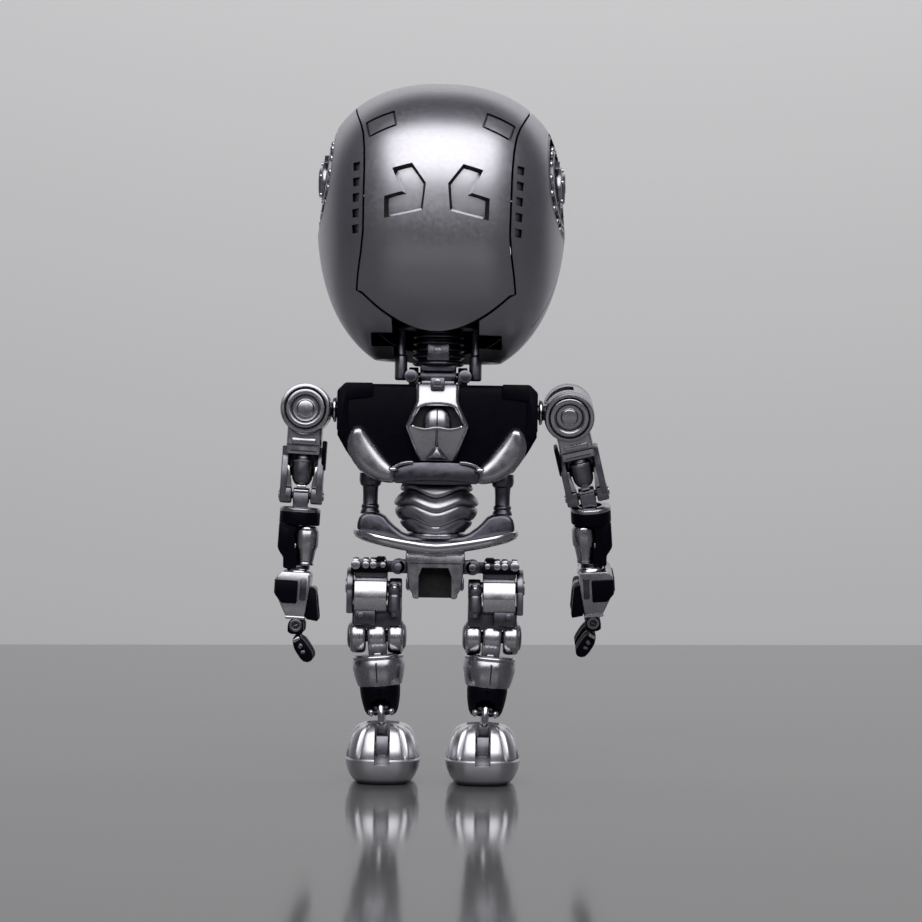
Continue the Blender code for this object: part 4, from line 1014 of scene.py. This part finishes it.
# ---------------------------------------------------------------- legs
def build_hip(home, word):
    """A dark cross block with a row of small bright rollers, and the thigh's swing drum."""
    body = block((2.3, -2.9, -2.2), (8.7, 2.9, 1.3), 0.4)
    drum_at = (0, 0, -4.0)
    pairs = [("gun", body), ("gun", drum(1.5, -1.6, 1.6, "Y", edge=0.15, sides=28)),
             ("dull", drum(0.8, -3.6, 3.6, "Y", edge=0.1, sides=20)),
             ("gun", block((0.0, -1.5, -1.2), (3.0, 1.5, 1.0), 0.2)),
             ("dull", drum(3.1, 2.1, 8.5, "X", drum_at, 0.3, 48, bore=1.4)),
             ("black", block((1.9, 1.6, -1.3), (9.4, 3.3, -0.1), 0.3)),
             ("black", block((2.6, -2.0, 0.9), (4.4, 3.4, 1.9), 0.3))]
    for x, radius in ((3.0, 0.6), (4.9, 0.75), (6.4, 0.75), (8.4, 0.95)):
        pairs.append(("plated", drum(radius, 2.6, 4.1, "Y", (x, 0, 0.3), 0.22, 24)))
        pairs.append(("plated", drum(0.8, x - 0.6, x + 0.6, "X", (0, 2.5, 1.0), 0.2, 24)))
    piece(f"{word}_hip_block", home, *pairs)


def barrel(middle_x, half, at):
    """A crowned roller on the knee's pin."""
    crown = ((0, 1.0), (2.75, 1.0), (3.1, 0.93), (3.32, 0.75), (3.43, 0.4), (3.45, 0.0), (3.43, -0.4),
             (3.32, -0.75), (3.1, -0.93), (2.75, -1.0), (0, -1.0))
    return lathe([(radius, middle_x + share * half) for radius, share in crown], "X", at, 64)


def build_thigh(home, word):
    """A box with a hip fork above, and two bright outer drums on the knee's pin below."""
    knee = -KNEE_DROP
    pairs = [("gun", block((-4.9, -3.0, -8.4), (4.9, 2.9, -3.7), 0.4)),
             ("gun", block((0.2, 2.6, -7.6), (4.4, 4.2, -4.6), 0.4)),
             ("dull", drum(0.6, 3.9, 4.5, "Y", (3.2, 0, -5.6), 0.15, 20)),
             ("dull", drum(1.1, -4.4, 5.2, "X", edge=0.1, sides=28)),
             ("gun", drum(1.2, -3.0, 3.0, "X", (0, 0, knee), 0.1, 28))]
    for low, high, radius in ((4.8, 6.1, 3.6), (-4.9, -2.4, 1.6)):
        reach = radius - 0.1
        pairs.append(("dull", block((low, -reach, -5.4), (high, reach, 0), 0.3)))
        pairs.append(("dull", drum(radius, low, high, "X", edge=0.3, sides=48)))
    pairs.append(("plated", drum(1.5, 6.0, 6.4, "X", edge=0.15, sides=28)))
    for out in (1, -1):
        pairs.append(("brushed", barrel(out * 3.75, 1.55, (0, 0, knee))))
        cap = [(r, out * x) for r, x in ((0, 5.1), (2.6, 5.1), (2.5, 5.5), (1.9, 5.8), (1.2, 5.9), (0, 5.9))]
        pairs.append(("dull", lathe(cap, "X", (0, 0, knee), edge=0.05)))
        low, high = sorted((out * 2.2, out * 4.9))
        pairs.append(("gun", block((low, -2.9, knee + 1.2), (high, 2.9, -7.6), 0.2)))
    piece(f"{word}_thigh_frame", home, *pairs)
    fold = [(3.6, 1.25), (4.25, 1.15), (4.75, 0.1), (5.15, -1.9), (5.1, -2.3), (4.45, -4.6), (3.4, -5.2),
            (3.4, -3.4), (3.9, -3.0), (4.0, 0.0)]
    piece(f"{word}_thigh_cover", home, ("satin", slab(fold, -1.9, 4.5, "X", 0.16)))
    ram = [(0, 0.7), (0.9, 0.7), (1.0, 0.0), (1.35, -0.3), (1.35, -1.2), (1.2, -1.35), (1.2, -1.6),
           (1.35, -1.75), (1.35, -4.6), (0.9, -5.1), (0.85, -5.9), (0, -5.9)]
    piece(f"{word}_thigh_ram", home, ("dull", lathe(ram, at=(-3.5, 4.1, 0), sides=28, edge=0.12)),
          ("plated", ball((0.62, 0.5, 0.62), (-3.5, 5.1, -0.2), around=16, along=10)))


def build_shin(home, word):
    sleeve = [(0, -3.7), (4.7, -3.7), (5.05, -3.85), (5.1, -4.3), (4.95, -4.6), (5.15, -4.9), (5.2, -6.4),
              (4.85, -8.2), (4.4, -9.7), (4.2, -9.9), (0, -9.9)]
    body = cut(lathe(sleeve, sides=56, squash=0.92, edge=0.1), block((0.25, 3.0, -9.2), (0.5, 6, -5.3), 0))
    pairs = [("plated", body), ("brushed", barrel(0.0, 1.85, (0, 0, 0))),
             ("dull", block((-1.8, -2.8, -5.0), (1.8, 2.8, -1.0), 0.2)),
             ("plated", slab([(-0.9, -3.9), (0.9, -3.9), (0.6, -3.2), (-0.6, -3.2)], 2.6, 3.9, edge=0.15)),
             ("chrome", lathe([(4.7, -3.75), (5.0, -3.8), (5.18, -4.05), (5.05, -4.35), (4.7, -4.4)],
                              closed=True, squash=0.925, edge=0.06))]
    piece(f"{word}_shin_sleeve", home, *pairs)
    boot = [(0, -9.8), (4.0, -9.8), (4.05, -10.6), (3.9, -12.2), (3.65, -13.6), (3.35, -14.8), (2.9, -15.6),
            (2.2, -16.0), (0, -16.0)]
    body = cut(lathe(boot, sides=48, squash=0.95, edge=0.1), block((-1.9, -1.75, -18), (1.9, 5, -12.9), 0),
               block((-1.1, 0.2, -14), (1.1, 5, -12.3), 0), block((-0.3, 3.3, -11.9), (0.3, 5, -10.4), 0))
    pairs = [("black", body), ("gun", drum(0.6, -2.4, 2.4, "X", (0, 0, -ANKLE_DROP), 0.05, 16))]
    for out in (1, -1):
        pairs.append(("plated", ball((0.6, 0.7, 0.7), (out * 2.0, 2.75, -15.0), around=16, along=10)))
    piece(f"{word}_shin_boot", home, *pairs)


def build_ankle(home, word):
    drop = -ROLL_DROP
    piece(f"{word}_ankle_link", home, ("gun", drum(1.35, -1.6, 1.6, "X", edge=0.2, sides=36, bore=0.9)),
          ("chrome", drum(0.85, drop, -0.8, edge=0.1, sides=28)),
          ("dull", drum(1.4, -1.9, 1.9, "Y", (0, 0, drop), 0.2, 36, bore=0.8)),
          ("chrome", pipe([(0, 1.2, 1.0), (0, 2.6, 0.6), (0, 3.1, -0.6), (0, 3.3, -2.9)], 0.78, 16)),
          ("dull", block((-1.0, 1.9, -5.2), (1.0, 3.4, -2.7), 0.2)))


def foot_point(a, level, wide, deep, grooves):
    """A point round the heel dome: a is its turn from the outside, grooves how deep its panel lines are."""
    c, s = math.cos(a), math.sin(a)
    reach = (abs(c) ** 2.6 + abs(s) ** 2.6) ** (-1 / 2.6)
    off = abs((math.degrees(a) - 90 + 180) % 360 - 180)
    line = sum(math.exp(-((off - at) / 2.4) ** 2) for at in (36, 62, 88, 114))
    return ((wide - grooves * line) * c * reach, (deep - grooves * line) * s * reach, level)


def build_foot(home, word, floor):
    """A heel dome, in panels above a crease, over a smooth bowl, and a lower toe in front."""
    turns = [math.tau * k / 180 for k in range(180)]
    levels = ((0.0, 4.6, 0.0), (0.2, 5.2, 0.0), (0.8, 5.9, 0.0), (1.6, 6.5, 0.0), (2.7, 7.0, 0.0),
              (3.9, 7.35, 0.0), (4.9, 7.45, 0.0), (5.1, 7.3, 0.0), (5.25, 7.2, 0.0), (5.4, 7.35, 0.3),
              (5.9, 7.4, 0.55), (7.0, 7.2, 0.6), (8.3, 6.85, 0.6), (9.5, 6.4, 0.55), (10.4, 5.95, 0.5),
              (11.1, 5.4, 0.4), (11.6, 4.6, 0.25), (11.9, 3.6, 0.1), (12.05, 2.4, 0.0))
    loops = [[foot_point(a, z + floor, w, w * 1.06, depth) for a in turns] for z, w, depth in levels]
    heel = skin([[(0, 0, floor)], *loops, [(0, 0, 12.15 + floor)]])
    slot = [block((-1.55, 5.0, floor + 4.1), (1.55, 12, floor + 14), 0),
            block((-3.2, -2.3, -2.0), (3.2, 2.3, 8.0), 0), block((-1.55, -2.0, -2.0), (1.55, 6.0, 8.0), 0)]
    toe = ball((7.1, 8.3, 4.9), (0, -7.6, 3.5 + floor), 3.6, 2.7, 48, 24)
    crease = lathe([(6.9, 2.4), (7.6, 2.4), (7.6, 2.7), (6.9, 2.7)], at=(0, -7.6, floor), sides=64,
                   squash=1.16, closed=True)
    toe = cut(toe, block((-12, -24, floor - 8), (12, 14, floor + 0.05), 0), crease)
    pairs = [("heel", cut(heel, *slot)), ("heel", toe),
             ("dull", slab([(5.0, floor + 5.6), (6.7, floor + 6.2), (6.1, floor + 9.8), (5.0, floor + 9.8)],
                           -1.2, 1.2, "X", 0.15)),
             ("dull", drum(0.5, -3.4, 3.4, "Y", edge=0.05, sides=16))]
    for x in (-4.4, 0.0, 4.4):
        ridge = [(x * 0.9, -8.4, 8.1 + floor), (x, -12.0, 6.9 + floor), (x * 1.05, -15.0, 4.4 + floor)]
        pairs.append(("dull", pipe(ridge, 0.55, 12)))
    piece(f"{word}_foot", home, *pairs, sharp=40)


def build_leg(side, word):
    """A leg's frames: the shin leans outwards and the foot stays level."""
    upright, across = (0, 0, 1), (1, 0, 0)
    shin_x = Vector(JOINT[f"{word}_knee"]["axis"])
    shin_z = shin_x.cross(Vector((0, 1, 0)))

    def at(name):
        return JOINT[f"{word}_{name}"]["pos_m"]

    build_hip(seat(at("hip_raise"), across, upright, side), word)
    build_thigh(seat(at("hip_swing"), across, upright, side), word)
    build_shin(seat(at("knee"), shin_x, shin_z, side), word)
    build_ankle(seat(at("ankle_pitch"), shin_x, shin_z, side), word)
    roll = at("ankle_roll")
    build_foot(seat(roll, across, upright, side), word, -1000 * roll[2])


# ---------------------------------------------------------------- studio
def stage_plane(name, corners, colour, roughness, shine=0.5):
    """A plain sheet of the floor or the wall behind."""
    mesh = bpy.data.meshes.new(name)
    mesh.from_pydata(corners, [], [(0, 1, 2, 3)])
    sheet = bpy.data.objects.new(name, mesh)
    bpy.context.scene.collection.objects.link(sheet)
    made = bpy.data.materials.new(name)
    made.use_nodes = True
    shader = made.node_tree.nodes["Principled BSDF"]
    shader.inputs["Base Color"].default_value = (*colour, 1)
    shader.inputs["Roughness"].default_value = roughness
    shader.inputs["Specular IOR Level"].default_value = shine
    mesh.materials.append(made)


def soft_light(name, at, target, size, power, seen=True):
    light = bpy.data.lights.new(name, "AREA")
    light.shape = "RECTANGLE"
    light.size, light.size_y = size
    light.energy = power
    thing = bpy.data.objects.new(name, light)
    thing.location = at
    thing.visible_glossy = seen
    thing.rotation_euler = (Vector(target) - Vector(at)).to_track_quat("-Z", "Y").to_euler()
    bpy.context.scene.collection.objects.link(thing)


def build_studio():
    """A glossy table, a pale wall past its far end, one large soft light and a soft light that washes the
    wall.
    """
    scene = bpy.context.scene
    scene.view_settings.view_transform = "Standard"
    world = bpy.data.worlds.new("studio")
    world.use_nodes = True
    world.node_tree.nodes["Background"].inputs["Color"].default_value = (0.085, 0.085, 0.095, 1)
    scene.world = world
    wide, front, top = 1.6, 0.9, 1.4
    near, far = TABLE_END + TABLE_SKEW * wide, TABLE_END - TABLE_SKEW * wide
    stage_plane("floor", [(-wide, far, 0), (wide, near, 0), (wide, front, 0), (-wide, front, 0)],
                (0.11, 0.11, 0.113), 0.10, 0.33)
    stage_plane("wall", [(-wide, WALL_AT, -0.3), (wide, WALL_AT, -0.3), (wide, WALL_AT, top),
                         (-wide, WALL_AT, top)],
                (0.70, 0.70, 0.705), 0.9)
    soft_light("key", (0.0, 0.78, 0.76), (0, 0.0, 0.10), (1.6, 1.04), KEY_POWER)
    soft_light("wall_wash", (-0.1, WALL_AT + 0.5, 0.85), (-0.1, WALL_AT, 0.25), (1.4, 0.25), WALL_POWER,
               seen=False)
    camera = bpy.data.objects.new("camera", bpy.data.cameras.new("camera"))
    camera.data.lens = CAMERA_LENS
    camera.data.sensor_width = 36.0
    camera.data.clip_start = 0.01
    camera.location = CAMERA_AT
    camera.rotation_euler = (math.radians(90), math.radians(CAMERA_ROLL), math.radians(180))
    scene.collection.objects.link(camera)
    scene.camera = camera


STANCE = Vector(JOINT["neck_pitch"]["pos_m"])
build_head()
build_torso()
for limb_side, limb_word in SIDES:
    build_arm(limb_side, limb_word)
    build_leg(limb_side, limb_word)
build_studio()
